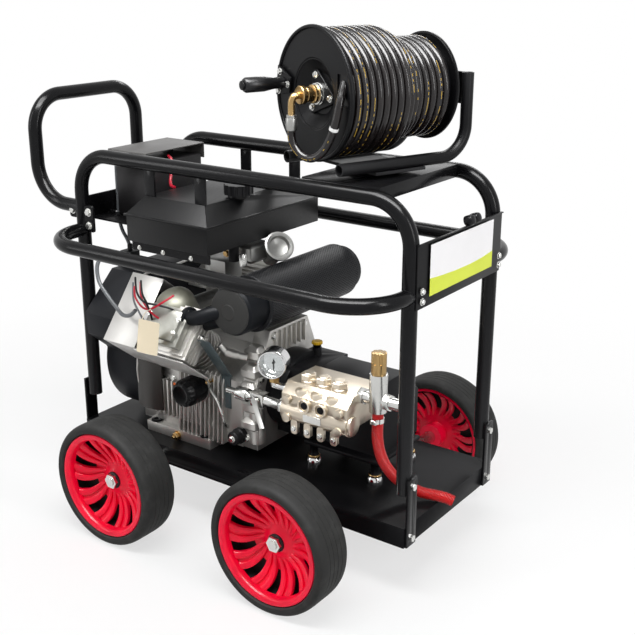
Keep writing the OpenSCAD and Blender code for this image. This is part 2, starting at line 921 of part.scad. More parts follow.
module finned_cylinder() {
    pitch = barrel_length / fin_count;
    translate([0, 0, seat_dist]) {
        cylinder(r = barrel_r, h = barrel_length);
        for (i = [0:fin_count - 1]) translate([0, 0, pitch * (i + 1) - fin_t]) cylinder(d = fin_d, h = fin_t);
    }
    translate([-head_half, -head_width, head_seat]) cube([2 * head_half, 2 * head_width, head_height]);
    for (i = [0:head_fins - 1]) translate([-head_half - head_fin, -head_width - head_fin,
        head_seat + (i + 1) * head_height / (head_fins + 1)])
        cube([2 * (head_half + head_fin), 2 * (head_width + head_fin), head_fin_t]);
}

module cylinders() {
    color("#a9abad") {
        bank(near_cylinder, -1) finned_cylinder();
        bank(far_cylinder, 1) finned_cylinder();
    }
}

module rocker_cover() {
    translate([-head_half + rocker_inset, -head_width + rocker_inset, rocker_seat])
        cube([2 * (head_half - rocker_inset), 2 * (head_width - rocker_inset), rocker_height - rocker_wall]);
    translate([-head_half + 2 * rocker_inset, -head_width + 2 * rocker_inset, rocker_seat])
        cube([2 * (head_half - 2 * rocker_inset), 2 * (head_width - 2 * rocker_inset), rocker_height]);
}

module rocker_covers() {
    color("#c2c4c6") {
        bank(near_cylinder, -1) rocker_cover();
        bank(far_cylinder, 1) rocker_cover();
    }
}

module head_space() {
    for (b = [[near_cylinder, -1], [far_cylinder, 1]]) bank(b[0], b[1])
        translate([-head_half - head_fin, -head_width - head_fin, seat_dist])
            cube([2 * (head_half + head_fin), 2 * (head_width + head_fin), rocker_seat - seat_dist]);
}

module carburettor() {
    color("#85888c") difference() {
        union() {
            translate([intake_x, 0, crank_height + intake_rise]) rotate([90, 0, 0])
                cylinder(r = intake_r, h = 2 * head_seat * sin(bank_angle), center = true);
            translate([intake_x - carb_half, -carb_half, crank_height + intake_rise])
                cube([2 * carb_half, 2 * carb_half, carb_rise]);
            translate([intake_x, 0, crank_height + intake_rise - carb_bowl_drop])
                cylinder(r = carb_bowl_r, h = carb_bowl_drop);
        }
        head_space();
    }
}

module oil_filter() {
    color("#131315") translate([filter_x, -case_half - filter_boss, filter_z]) rotate([90, 0, 0]) {
        cylinder(d = filter_d, h = filter_length - filter_dome);
        translate([0, 0, filter_length - filter_dome])
            cylinder(d1 = filter_d, d2 = filter_d - 2 * filter_dome, h = filter_dome);
    }
}

module heat_shield() {
    color("#4d5a63") difference() {
        union() {
            translate([shield_x + shield_step, 0, crank_height]) rotate([90, 0, 90]) linear_extrude(shield_foot)
                polygon([[-case_half, shield_low], [-case_half, shield_bend], [-case_half - shield_t, shield_bend],
                    [-case_half - shield_t, shield_low]]);
            translate([shield_x, 0, crank_height]) rotate([90, 0, 90]) linear_extrude(shield_wide)
                polygon([[-case_half, shield_bend - shield_t], [-case_half - shield_out, shield_up],
                    [-case_half - shield_out - shield_t, shield_up], [-case_half - shield_t, shield_bend - shield_t]]);
        }
        head_space();
    }
}

module starter_motor() {
    color("#232428") translate([starter_x, case_half + rib_depth + starter_r, crank_height - starter_drop])
        rotate([0, 90, 0]) cylinder(r = starter_r, h = starter_length);
}

module crankshaft() {
    color("#8d9094") along_x(fan_rear) cylinder(d = crank_d, h = shaft_front - fan_rear);
}

module cooling_fan() {
    color("#3a3c40") along_x(fan_rear) difference() {
        union() {
            cylinder(r = fan_hub_r, h = fan_depth);
            translate([0, 0, fan_depth - fan_plate_t]) cylinder(r = fan_r, h = fan_plate_t);
            for (i = [0:fan_blades - 1]) rotate([0, 0, 360 * i / fan_blades])
                translate([fan_hub_r - overrun, -blade_t / 2, 0]) cube([fan_r - fan_hub_r - overrun, blade_t, fan_depth]);
        }
        translate([0, 0, -overrun]) cylinder(d = crank_d, h = fan_depth + 2 * overrun);
    }
}

module exhaust_pipes(r) {
    rod([near_cylinder, -pipe_y, crank_height + pipe_low], [muffler_x, -pipe_y, muffler_z - pipe_r], r);
    rod([far_cylinder, pipe_y, crank_height + pipe_low], [muffler_x, pipe_y, muffler_z - pipe_r], r);
}

module muffler() {
    color("#2b2d31") difference() {
        union() {
            translate([muffler_x, muffler_near, muffler_z]) rotate([-90, 0, 0]) {
                translate([0, 0, muffler_dome]) cylinder(d = muffler_d, h = muffler_length - 2 * muffler_dome);
                cylinder(d1 = muffler_d - 2 * muffler_dome, d2 = muffler_d, h = muffler_dome);
                translate([0, 0, muffler_length - muffler_dome])
                    cylinder(d1 = muffler_d, d2 = muffler_d - 2 * muffler_dome, h = muffler_dome);
            }
            exhaust_pipes(pipe_r);
        }
        head_space();
    }
}

module muffler_guard() {
    inner = muffler_d / 2 + guard_gap;
    length = muffler_length - guard_start - guard_stop;
    color("#18191c") difference() {
        translate([muffler_x, muffler_near + guard_start, muffler_z]) rotate([-90, 0, 0]) rotate_extrude() {
            translate([inner, 0]) square([guard_sheet, length]);
            for (a = [0, length - guard_foot]) translate([muffler_d / 2, a])
                square([guard_gap + guard_sheet, guard_foot]);
        }
        exhaust_pipes(pipe_r + pipe_gap);
    }
}

// Gearbox and pump
module gearbox() {
    color("#1d1e22") difference() {
        union() {
            along_x(cover_front) cylinder(r = gear_r, h = gear_step - cover_front);
            translate([gear_step - gear_lap, gear_near, gear_low])
                cube([gear_front - gear_step + gear_lap, gear_far - gear_near, gear_high - gear_low]);
            translate([stick_x, stick_y, gear_high - overrun]) cylinder(r = stick_neck_r, h = stick_neck + overrun);
        }
        along_x(cover_front - overrun) cylinder(r = crank_d / 2 + run_fit, h = shaft_front - cover_front + 2 * overrun);
        translate([stick_x, stick_y, gear_high + stick_neck - stick_drop - overrun])
            cylinder(r = stick_hole_r, h = stick_drop + 2 * overrun);
    }
}

module dipstick() {
    color("#e7c21c") translate([stick_x, stick_y, gear_high + stick_neck + seat_gap]) {
        cylinder(r = stick_head_r, h = stick_head);
        translate([0, 0, -stick_drop]) cylinder(r = stick_r, h = stick_drop + overrun);
    }
}

module pump_case() {
    color("#1b1c20") {
        translate([pump_rear, 0, 0]) rotate([90, 0, 90]) linear_extrude(pump_width)
            polygon([[pump_near, pump_low], [pump_far, pump_low], [pump_far, pump_high - pump_slope],
                [pump_far - pump_slope, pump_high], [pump_near, pump_high]]);
        translate([pump_rear - pump_foot_out, mount_near - pump_foot_out, mount_top])
            cube([pump_width + 2 * pump_foot_out, mount_far - mount_near + 2 * pump_foot_out, pump_foot_t]);
    }
}

module pump_manifold() {
    color("#c4b79e") {
        translate([pump_rear + overrun, 0, 0]) rotate([90, 0, 90]) linear_extrude(pump_width - 2 * overrun)
            polygon([[pump_near, head_low], [pump_near, head_high], [head_near + head_bevel, head_high],
                [head_near, head_high - head_bevel], [head_near, head_low]]);
        translate([pump_rear + overrun, gallery_y, gallery_z]) rotate([0, 90, 0]) {
            cylinder(r = gallery_r, h = pump_width - 2 * overrun);
            translate([0, 0, -gallery_out]) cylinder(r = gallery_r - gallery_out, h = pump_width + 2 * gallery_out);
        }
        for (side = [-1, 1]) {
            translate([pump_mid + side * boss_spread, head_near + overrun, boss_z]) rotate([90, 0, 0])
                cylinder(r = boss_r, h = boss_out + overrun);
            for (z = [gallery_z - ear_r, head_high - head_bevel - ear_r])
                translate([pump_mid + side * ear_spread, head_near + overrun, z]) rotate([90, 0, 0])
                    cylinder(r = ear_r, h = ear_out + gallery_out + overrun);
        }
    }
}

module valve_caps() {
    color("#bfb294") for (i = [-1, 0, 1]) translate([pump_mid + i * cap_pitch, cap_row_y, head_high]) {
        cylinder(r = cap_neck_r, h = cap_neck);
        translate([0, 0, cap_neck]) hex(cap_flats, cap_top);
    }
}

module pump_mounts() {
    color("#b3b5b8") for (x = [mount_rear, mount_front], y = [mount_near, mount_far]) translate([x, y, tray_top]) {
        cylinder(r = mount_dome_r, h = mount_dome / 2);
        translate([0, 0, mount_dome / 2]) cylinder(r1 = mount_dome_r, r2 = mount_ring_r, h = mount_dome / 2);
        cylinder(r = mount_ring_r, h = mount_dome + mount_ring);
        cylinder(r = mount_neck_r, h = mount_top - tray_top);
    }
}

module gauge_at() {
    translate([gauge_x, gauge_y, gauge_z]) rotate([0, 0, gauge_turn]) rotate([90, 0, 0]) children();
}

module gauge_case() {
    color("#c3c5c8") {
        difference() {
            union() {
                gauge_at() translate([0, 0, -gauge_depth / 2]) cylinder(d = gauge_d, h = gauge_depth);
                translate([gauge_x, gauge_y, stem_z]) cylinder(r = stem_r, h = gauge_z - stem_z);
            }
            gauge_at() translate([0, 0, gauge_depth / 2 - gauge_well])
                cylinder(r = gauge_d / 2 - gauge_rim, h = gauge_well + overrun);
            gauge_at() translate([0, 0, gauge_depth / 2 - gauge_well - needle_pin - overrun])
                cylinder(r = needle_pin_r + run_fit, h = needle_pin + 2 * overrun);
        }
        translate([gauge_x, gauge_y, stem_z]) {
            sphere(r = stem_r);
            rotate([0, 90, 0]) cylinder(r = stem_r, h = pump_rear + overrun - gauge_x);
            translate([pump_rear + overrun - gauge_x - nut_length, 0, 0]) rotate([0, 90, 0])
                hex(stem_flats, nut_length);
        }
    }
}

module gauge_glass() {
    color("#e8eef0") gauge_at() translate([0, 0, gauge_depth / 2 - gauge_glass_t])
        cylinder(r = gauge_d / 2 - gauge_rim, h = gauge_glass_t);
}

module gauge_needle() {
    color("#141414") gauge_at() translate([0, 0, gauge_depth / 2 - gauge_well + seat_gap]) {
        cylinder(r = needle_hub_r, h = needle_hub);
        translate([0, 0, -needle_pin]) cylinder(r = needle_pin_r, h = needle_pin + overrun);
        translate([-needle_w / 2, -needle_long, overrun]) cube([needle_w, needle_long + needle_tail, needle_t]);
    }
}

module unloader_tee() {
    left = pump_front - overrun;
    color("#b9bcbf") {
        translate([left, tee_y, tee_z]) rotate([0, 90, 0]) {
            cylinder(r = tee_r, h = tee_x - left);
            hex(tee_flats, nut_length);
            translate([0, 0, tee_x - left]) cylinder(d = inlet_d, h = unloader_d / 2 + nut_length + inlet_length);
            translate([0, 0, tee_x - left + unloader_d / 2 - overrun]) hex(tee_flats, nut_length + overrun);
        }
        translate([tee_x, tee_y, tee_low]) cylinder(d = unloader_d, h = body_high - tee_low);
        translate([tee_x, tee_y, barb_low]) cylinder(r = barb_r, h = tee_low - barb_low + overrun);
        translate([tee_x, tee_y, body_high - overrun]) cylinder(r = stem_pin_r, h = stem_pin + overrun);
    }
}

module unloader_knob() {
    color("#c9973a") translate([tee_x, tee_y, body_high + seat_gap]) difference() {
        cylinder(r = knob_r, h = knob_high);
        translate([0, 0, -overrun]) cylinder(r = stem_pin_r + run_fit, h = stem_pin + 2 * overrun);
        for (i = [0:knob_flutes - 1]) rotate([0, 0, 360 * i / knob_flutes]) translate([knob_r + overrun, 0, knob_high / 2])
            cylinder(r = flute_r, h = knob_high);
    }
}

module ribbed_hose() {
    top = [tee_x, tee_y, tee_low - seat_gap];
    ribs = ribbed_ribs;
    n = 8;
    outer = [for (p = smooth(ribbed_steps, 2 * ribs - 1)) p + top];
    inner = [for (p = smooth(ribbed_steps, ribs / 2)) p + top];
    outer_side = sides_along(outer, [1, 0, 0]);
    inner_side = sides_along(inner, [1, 0, 0]);
    bore = barb_r / cos(180 / n) + seat_gap;
    groove = ribbed_d / 2 - overrun;
    points = concat([for (i = [0:len(outer) - 1]) each ring_points(outer[i], tangent(outer, i), outer_side[i],
        floor((i + 1) / 2) % 2 == 0 ? ribbed_d / 2 : groove, n)],
        [for (i = [0:len(inner) - 1]) each ring_points(inner[i], tangent(inner, i), inner_side[i], bore, n)]);
    a = len(outer);
    b = len(inner);
    skip = a * n;
    ends = [for (k = [0:n - 1], h = [0, 1]) let (j = (k + 1) % n)
        h == 0 ? [k, j, skip + k] : [j, skip + j, skip + k]];
    tails = [for (k = [0:n - 1], h = [0, 1]) let (j = (k + 1) % n, o = (a - 1) * n, q = skip + (b - 1) * n)
        h == 0 ? [o + k, q + k, o + j] : [o + j, q + k, q + j]];
    color("#c21f22") polyhedron(points, concat(skin_faces(a, n, 0),
        [for (f = skin_faces(b, n, skip)) [f[0], f[2], f[1]]], ends, tails));
}

module outlet_coupling() {
    right = pump_rear + overrun - gallery_out;
    color("#b7babd") difference() {
        union() {
            translate([right, gallery_y, gallery_z]) rotate([0, -90, 0]) {
                cylinder(r = outlet_r, h = right - outlet_rear - outlet_tip);
                hex(nut_flats, nut_length);
                translate([0, 0, right - outlet_rear - 2 * outlet_tip]) cylinder(r = outlet_collar_r, h = outlet_tip);
                cylinder(r = outlet_tip_r, h = right - outlet_rear);
            }
            translate([valve_x, gallery_y, gallery_z]) translate(-valve_size / 2) cube(valve_size);
        }
        translate([valve_x, gallery_y, gallery_z]) rotate([90, 0, 0])
            cylinder(r = lever_pin_r + run_fit, h = valve_size[1] / 2 + overrun);
    }
}

module valve_lever() {
    face = valve_size[1] / 2;
    color("#a6a9ad") translate([valve_x, gallery_y, gallery_z]) rotate([90, 0, 0]) {
        translate([0, 0, overrun]) cylinder(r = lever_pin_r, h = face + lever_gap);
        translate([0, 0, face + lever_gap]) cylinder(d = lever_w + lever_t, h = lever_t);
        rotate([0, 0, lever_lean - 90]) translate([0, -lever_w / 2, face + lever_gap]) cube([lever_length, lever_w, lever_t]);
    }
}

// Reel
module reel_at() {
    translate([reel_x, 0, reel_height]) rotate([0, 0, -reel_turn]) children();
}

module about_reel() {
    reel_at() rotate([-90, 0, 0]) children();
}

module reel_deck() {
    color("#15161a") difference() {
        translate([deck_rear, -rail_inner, deck_top - deck_drop]) cube([deck_front - deck_rear, 2 * rail_inner, deck_drop]);
        translate([deck_rear + sheet_t, -rail_inner + sheet_t, deck_top - deck_drop - overrun])
            cube([deck_front - deck_rear - 2 * sheet_t, 2 * (rail_inner - sheet_t), deck_drop - sheet_t + overrun]);
    }
}

module turntable() {
    color("#2a2b2f") translate([reel_x, 0, deck_top]) {
        cylinder(r = turn_r, h = turn_h);
        cylinder(r = pivot_r, h = turn_h + seat_gap + stand_plate_t);
    }
}

module reel_stand() {
    $pipe_d = stand_d;
    $pipe_wall = tube_wall;
    drop = stand_axis - reel_height;
    axle_near = drum_half - flange_dish - flange_t;
    color("#17181c") reel_at() {
        difference() {
            translate([-stand_half - stand_d / 2, -stand_plate_half, stand_z - reel_height])
                cube([2 * stand_half + stand_d, 2 * stand_plate_half, stand_plate_t]);
            translate([0, 0, stand_z - reel_height - overrun])
                cylinder(r = pivot_r + run_fit, h = stand_plate_t + 2 * overrun);
        }
        for (side = [-1, 1]) translate([side * stand_half, -stand_near, drop]) rotate([0, 0, 90]) rotate([90, 0, 0])
            run(stand_near + stand_far - stand_bend) bend(stand_bend, 90) run(bar_half - drop - stand_bend);
        translate([-stand_half, stand_far - bar_t / 2, -bar_half]) cube([2 * stand_half, bar_t, 2 * bar_half]);
        rotate([-90, 0, 0]) translate([0, 0, -axle_near]) cylinder(r = reel_axle_r, h = axle_near + stand_far);
        rotate([-90, 0, 0]) translate([0, 0, stand_far - bar_t - stand_d / 2])
            cylinder(r = reel_hub_r, h = bar_t + stand_d / 2);
    }
}

module reel_drum() {
    bore = reel_axle_r + run_fit;
    color("#1a1b1f") about_reel() difference() {
        union() {
            for (v = [-1, 1]) {
                r = (v < 0 ? flange_d : far_flange_d) / 2;
                rotate_extrude() polygon([[bore, v * (drum_half - flange_dish)],
                    [dish_r, v * (drum_half - flange_dish)], [core_r, v * drum_half], [r, v * drum_half],
                    [r, v * (drum_half - flange_t)], [core_r, v * (drum_half - flange_t)],
                    [dish_r, v * (drum_half - flange_dish - flange_t)],
                    [bore, v * (drum_half - flange_dish - flange_t)]]);
                rotate_extrude() translate([r - bead_r, v * drum_half]) circle(r = bead_r);
            }
            rotate_extrude() translate([core_r - core_wall, -drum_half + flange_t / 2])
                square([core_wall, reel_width - flange_t]);
            rotate_extrude() translate([bore, -drum_half + flange_dish + flange_t / 2])
                square([reel_hub_r - bore, reel_width - 2 * flange_dish - flange_t]);
        }
        translate([slot_x - slot_size[0] / 2, -slot_z - slot_size[1] / 2, -drum_half - bead_r])
            cube([slot_size[0], slot_size[1], flange_t + 2 * bead_r]);
    }
}

function layer_at(u) = layer_r - layer_drop * min(1, max(0, (u - layer_share * hose_loops) / layer_fade));
function winding_point(u) = [layer_at(u) * cos(360 * u + winding_start), layer_at(u) * sin(360 * u + winding_start),
    hose_first + hose_pitch * u];
winding_steps = hose_loops * ring_per_loop;
winding_loops = [for (k = [0:winding_steps]) winding_point(k / ring_per_loop)];
winding_lead = unit(winding_loops[0] - winding_loops[1]);
winding_trail = unit(winding_loops[winding_steps] - winding_loops[winding_steps - 1]);
winding_route = concat([winding_loops[0] + hose_d * winding_lead], winding_loops,
    [winding_loops[winding_steps] + hose_d * winding_trail]);
winding_gap = min([for (i = [0:winding_steps], j = [i + ring_per_loop / 2:winding_steps])
    norm(winding_loops[i] - winding_loops[j])]) - hose_d;
echo(str("least gap of the winding to itself: ", winding_gap));

module hose_winding() {
    low = core_r + seat_gap;
    high = layer_r - hose_d / 2 - layer_gap;
    half = drum_half - flange_t - fill_gap;
    step = hose_first + hose_pitch * layer_share * hose_loops - hose_d;
    color("#16171a") about_reel() {
        difference() {
            rotate_extrude() polygon([[low, -half], [high, -half], [high, step], [high - layer_drop, step],
                [high - layer_drop, half], [low, half]]);
            translate([slot_x - slot_size[0] / 2, -slot_z - slot_size[1] / 2, -half - overrun])
                cube([slot_size[0], slot_size[1], hose_d + overrun]);
        }
        cord_form(winding_route, hose_d / 2, hose_sides, [1, 0, 0]);
    }
}

module reel_fittings() {
    face = -drum_half + flange_dish;
    tip = -drum_half + flange_dish - swivel_reach;
    end = winding_route[len(winding_route) - 1];
    color("#c59a45") {
        reel_at() {
            rotate([90, 0, 0]) {
                translate([0, 0, -face]) cylinder(r = swivel_r, h = swivel_base);
                translate([0, 0, -face + swivel_base]) hex(swivel_flats, swivel_nut);
                translate([0, 0, -face]) cylinder(r = swivel_neck_r, h = swivel_reach - swivel_r);
                translate([0, 0, -face]) cylinder(r = elbow_r, h = swivel_reach);
            }
            translate([0, tip, 0]) sphere(r = knuckle_r);
            rod([0, tip, 0], [elbow_tip[0], tip, elbow_tip[1]], elbow_r);
            translate([elbow_tip[0], tip, elbow_tip[1]]) sphere(r = knuckle_r);
            rod([elbow_tip[0], tip, elbow_tip[1]], tail_steps[0] + [0, 0, ferrule_gap], ferrule_r);
        }
        about_reel() rod(end, end + nozzle_length * winding_trail, nozzle_r);
    }
}

module hose_tail() {
    color("#141517") reel_at() cord_form(smooth(tail_steps, 44), hose_d / 2, 10, [1, 0, 0]);
}

module crank_pin_at() {
    reel_at() translate([bracket_r * cos(bracket_angle), -drum_half - bead_r, bracket_r * sin(bracket_angle)])
        rotate([90, 0, 0]) children();
}

module crank_bracket() {
    color("#1b1c20") crank_pin_at() {
        rotate([0, 0, bracket_angle]) linear_extrude(bracket_t)
            polygon([[-bracket_low, -bracket_half / 2], [bracket_high, -bracket_half], [bracket_high, bracket_half],
                [-bracket_low, bracket_half / 2]]);
        rotate([0, 0, bracket_angle]) translate([0, 0, -bead_r]) linear_extrude(bead_r + overrun)
            square(bracket_low, center = true);
        cylinder(r = pin_r, h = bracket_t + grip_length + 2 * grip_gap + pin_head);
        translate([0, 0, bracket_t + grip_length + 2 * grip_gap]) cylinder(r = pin_head_r, h = pin_head);
    }
}

module crank_grip() {
    color("#101113") crank_pin_at() translate([0, 0, bracket_t + grip_gap]) rotate_extrude()
        polygon([[pin_r + run_fit, 0], [grip_waist, 0], [grip_waist, grip_length / 4], [grip_r, grip_length / 2],
            [grip_r, grip_length - grip_waist / 2], [grip_waist, grip_length], [pin_r + run_fit, grip_length]]);
}

base_tray();
axles();
frame_straps();
side_arch_near();
side_arch_far();
bumper_near();
bumper_far();
push_handle();
rear_cross_plate();
front_panel();
frame_fasteners();
rim_rear_near();
rim_rear_far();
rim_front_near();
rim_front_far();
tyre_rear_near();
tyre_rear_far();
tyre_front_near();
tyre_front_far();
battery();
battery_lid();
battery_cable();
fuel_tank();
fuel_cap();
reel_deck();
turntable();
crankcase();
blower_housing();
cylinder_shrouds();
cylinders();
rocker_covers();
carburettor();
muffler();
muffler_guard();
oil_filter();
heat_shield();
starter_motor();
crankshaft();
cooling_fan();
gearbox();
dipstick();
pump_case();
pump_manifold();
valve_caps();
pump_mounts();
gauge_case();
gauge_glass();
gauge_needle();
unloader_tee();
unloader_knob();
ribbed_hose();
outlet_coupling();
valve_lever();
reel_stand();
reel_drum();
hose_winding();
reel_fittings();
hose_tail();
crank_bracket();
crank_grip();
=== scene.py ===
import json
from math import cos, pi, radians, sin

import bmesh
import bpy
from bpy.props import FloatProperty, FloatVectorProperty, IntProperty, PointerProperty
from mathutils import Matrix, Vector


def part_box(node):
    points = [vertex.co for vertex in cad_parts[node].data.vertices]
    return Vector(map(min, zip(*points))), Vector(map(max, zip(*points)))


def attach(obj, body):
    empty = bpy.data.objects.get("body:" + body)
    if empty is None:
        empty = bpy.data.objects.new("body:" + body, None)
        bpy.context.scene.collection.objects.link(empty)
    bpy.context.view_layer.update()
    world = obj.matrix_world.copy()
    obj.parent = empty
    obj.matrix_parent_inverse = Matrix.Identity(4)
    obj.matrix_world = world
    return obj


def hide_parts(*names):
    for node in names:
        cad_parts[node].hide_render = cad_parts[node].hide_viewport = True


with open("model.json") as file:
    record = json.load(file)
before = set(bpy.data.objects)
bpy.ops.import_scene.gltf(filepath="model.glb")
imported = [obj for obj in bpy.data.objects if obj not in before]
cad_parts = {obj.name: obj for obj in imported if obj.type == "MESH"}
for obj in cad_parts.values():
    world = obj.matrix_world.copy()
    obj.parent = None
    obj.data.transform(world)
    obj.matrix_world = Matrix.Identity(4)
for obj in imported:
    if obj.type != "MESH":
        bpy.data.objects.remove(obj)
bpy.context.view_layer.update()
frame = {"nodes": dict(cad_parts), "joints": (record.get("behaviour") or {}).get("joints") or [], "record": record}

bl_info = {
    "name": "Drain jetter",
    "version": (1, 0, 0),
    "blender": (4, 5, 0),
    "location": "3D View > Sidebar > Jetter",
    "description": "Dresses the drain jetter: finishes, wheels, hose reel, engine and pump fittings",
    "category": "Object",
}

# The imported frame
JOINTS = {joint["name"]: joint for joint in frame["joints"]}
SLOT_OF = {part["node"]: part["material_slot"] for part in frame["record"]["subparts"]}
WHEELS = ("rear_near", "rear_far", "front_near", "front_far")


# Settings that a user would change
def length(name, default, description):
    return FloatProperty(name=name, description=description, default=default, min=0.0, unit="LENGTH")


def colour(name, default, description):
    return FloatVectorProperty(
        name=name, description=description, default=default, size=3, min=0.0, max=1.0, subtype="COLOR"
    )


class JetterSizes(bpy.types.PropertyGroup):
    """Sizes of the dressed pieces"""

    tube_r: length("Tube radius", 0.016, "Radius of the cage tubes")
    hose_r: length("Reel hose radius", 0.0080, "Radius of the hose on the reel")
    hose_loops: IntProperty(name="Hose loops", description="Loops of the outer layer of hose", default=15)
    hose_pitch: length("Hose pitch", 0.0167, "Step from one loop to the next")
    layer_r: length("Layer radius", 0.118, "Radius of the outer layer at the crank side")
    layer_drop: length("Layer drop", 0.024, "How far the outer layer drops half way along")
    ribbed_r: length("Ribbed hose radius", 0.012, "Radius of the by-pass hose over its ribs")
    ribs: IntProperty(name="Ribs", description="Ribs of the by-pass hose", default=110)
    cable_r: length("Cable radius", 0.0045, "Radius of the battery cable")
    wire_r: length("Wire radius", 0.0024, "Radius of the thin wires")
    bolt_flats: length("Bolt flats", 0.013, "Width across the flats of the frame bolts")
    spokes: IntProperty(name="Spoke pairs", description="Pairs of spokes in a rim", default=10)
    edge: length("Edge round", 0.0012, "Rounding of the sheet and casting edges")


class JetterColours(bpy.types.PropertyGroup):
    """Colours of the finishes"""

    frame_black: colour("Frame", (0.0045, 0.0045, 0.0052), "Powder coat of the cage")
    crimson: colour("Rims", (0.84, 0.001, 0.034), "Moulded wheel rims")
    rubber: colour("Tyres", (0.015, 0.015, 0.0145), "Tyre rubber")
    alloy: colour("Castings", (0.45, 0.44, 0.42), "Cast engine alloy")
    silver: colour("Shrouds", (0.54, 0.53, 0.51), "Silver sheet of the shrouds")
    nickel: colour("Manifold", (0.53, 0.47, 0.385), "Plated pump head")
    steel: colour("Fittings", (0.60, 0.60, 0.58), "Zinc and steel fittings")
    brass: colour("Brass", (0.40, 0.265, 0.115), "Brass fittings")
    slate: colour("Shield", (0.065, 0.090, 0.098), "Slate shield plate")
    hose_red: colour("By-pass hose", (0.62, 0.010, 0.012), "Ribbed red hose")
    dash_yellow: colour("Hose marks", (0.52, 0.33, 0.035), "Dashes along the reel hose")
    lime: colour("Panel band", (0.60, 0.68, 0.02), "Lower band of the panel face")
    lid_grey: colour("Battery lid", (0.085, 0.082, 0.080), "Bent lid over the battery")
    cap_yellow: colour("Dipstick", (0.72, 0.42, 0.01), "Top of the dipstick")


# Points and placing
TO_NEAR, TO_FRONT = (0, -1, 0), (1, 0, 0)


def facing(place, direction, turn=0.0):
    """A matrix at place whose +Z runs along direction."""
    spin = Vector(direction).normalized().to_track_quat("Z", "Y").to_matrix().to_4x4()
    return Matrix.Translation(place) @ spin @ Matrix.Rotation(turn, 4, "Z")


def at(x, y, z):
    """A matrix that moves to x, y and z."""
    return Matrix.Translation((x, y, z))


def smooth(points, count):
    """A curve through the points, as count steps."""
    points = [Vector(p) for p in points]
    last = len(points) - 1
    made = []
    for k in range(count + 1):
        u = last * k / count
        i = min(int(u), last - 1)
        f = u - i
        a, b, c, d = points[max(i - 1, 0)], points[i], points[i + 1], points[min(i + 2, last)]
        made.append(0.5 * (2 * b + (c - a) * f + (2 * a - 5 * b + 4 * c - d) * f ** 2
                           + (3 * b - a - 3 * c + d) * f ** 3))
    return made


def along(points):
    """Distance of each point from the start of the path."""
    total = [0.0]
    for a, b in zip(points, points[1:]):
        total.append(total[-1] + (b - a).length)
    return total


def heading(path, i):
    """Direction of the path at its point i."""
    return (path[min(i + 1, len(path) - 1)] - path[max(i - 1, 0)]).normalized()


def circle(centre, radius, run, side, sides):
    """Points round centre, square to run, from side on."""
    other = run.cross(side)
    return [centre + radius * (cos(2 * pi * k / sides) * side + sin(2 * pi * k / sides) * other)
            for k in range(sides)]


def rounded(width, height, radius, steps=4):
    """A rectangle about the origin with round corners."""
    outline = []
    for quarter, (sx, sy) in enumerate(((1, 1), (-1, 1), (-1, -1), (1, -1))):
        for k in range(steps + 1):
            angle = (quarter + k / steps) * pi / 2
            outline.append((sx * (width / 2 - radius) + radius * cos(angle),
                            sy * (height / 2 - radius) + radius * sin(angle)))
    return outline


def inset(outline, depth):
    """The outline drawn in by depth."""
    made = []
    for i, p in enumerate(outline):
        before, after = Vector(outline[i - 1]), Vector(outline[(i + 1) % len(outline)])
        here = Vector(p)
        a, b = (here - before).normalized(), (after - here).normalized()
        normal = Vector((-a.y - b.y, a.x + b.x))
        scale = max(normal.length_squared / 2, 0.35)
        made.append(here + normal * depth / scale)
    return [(p.x, p.y) for p in made]


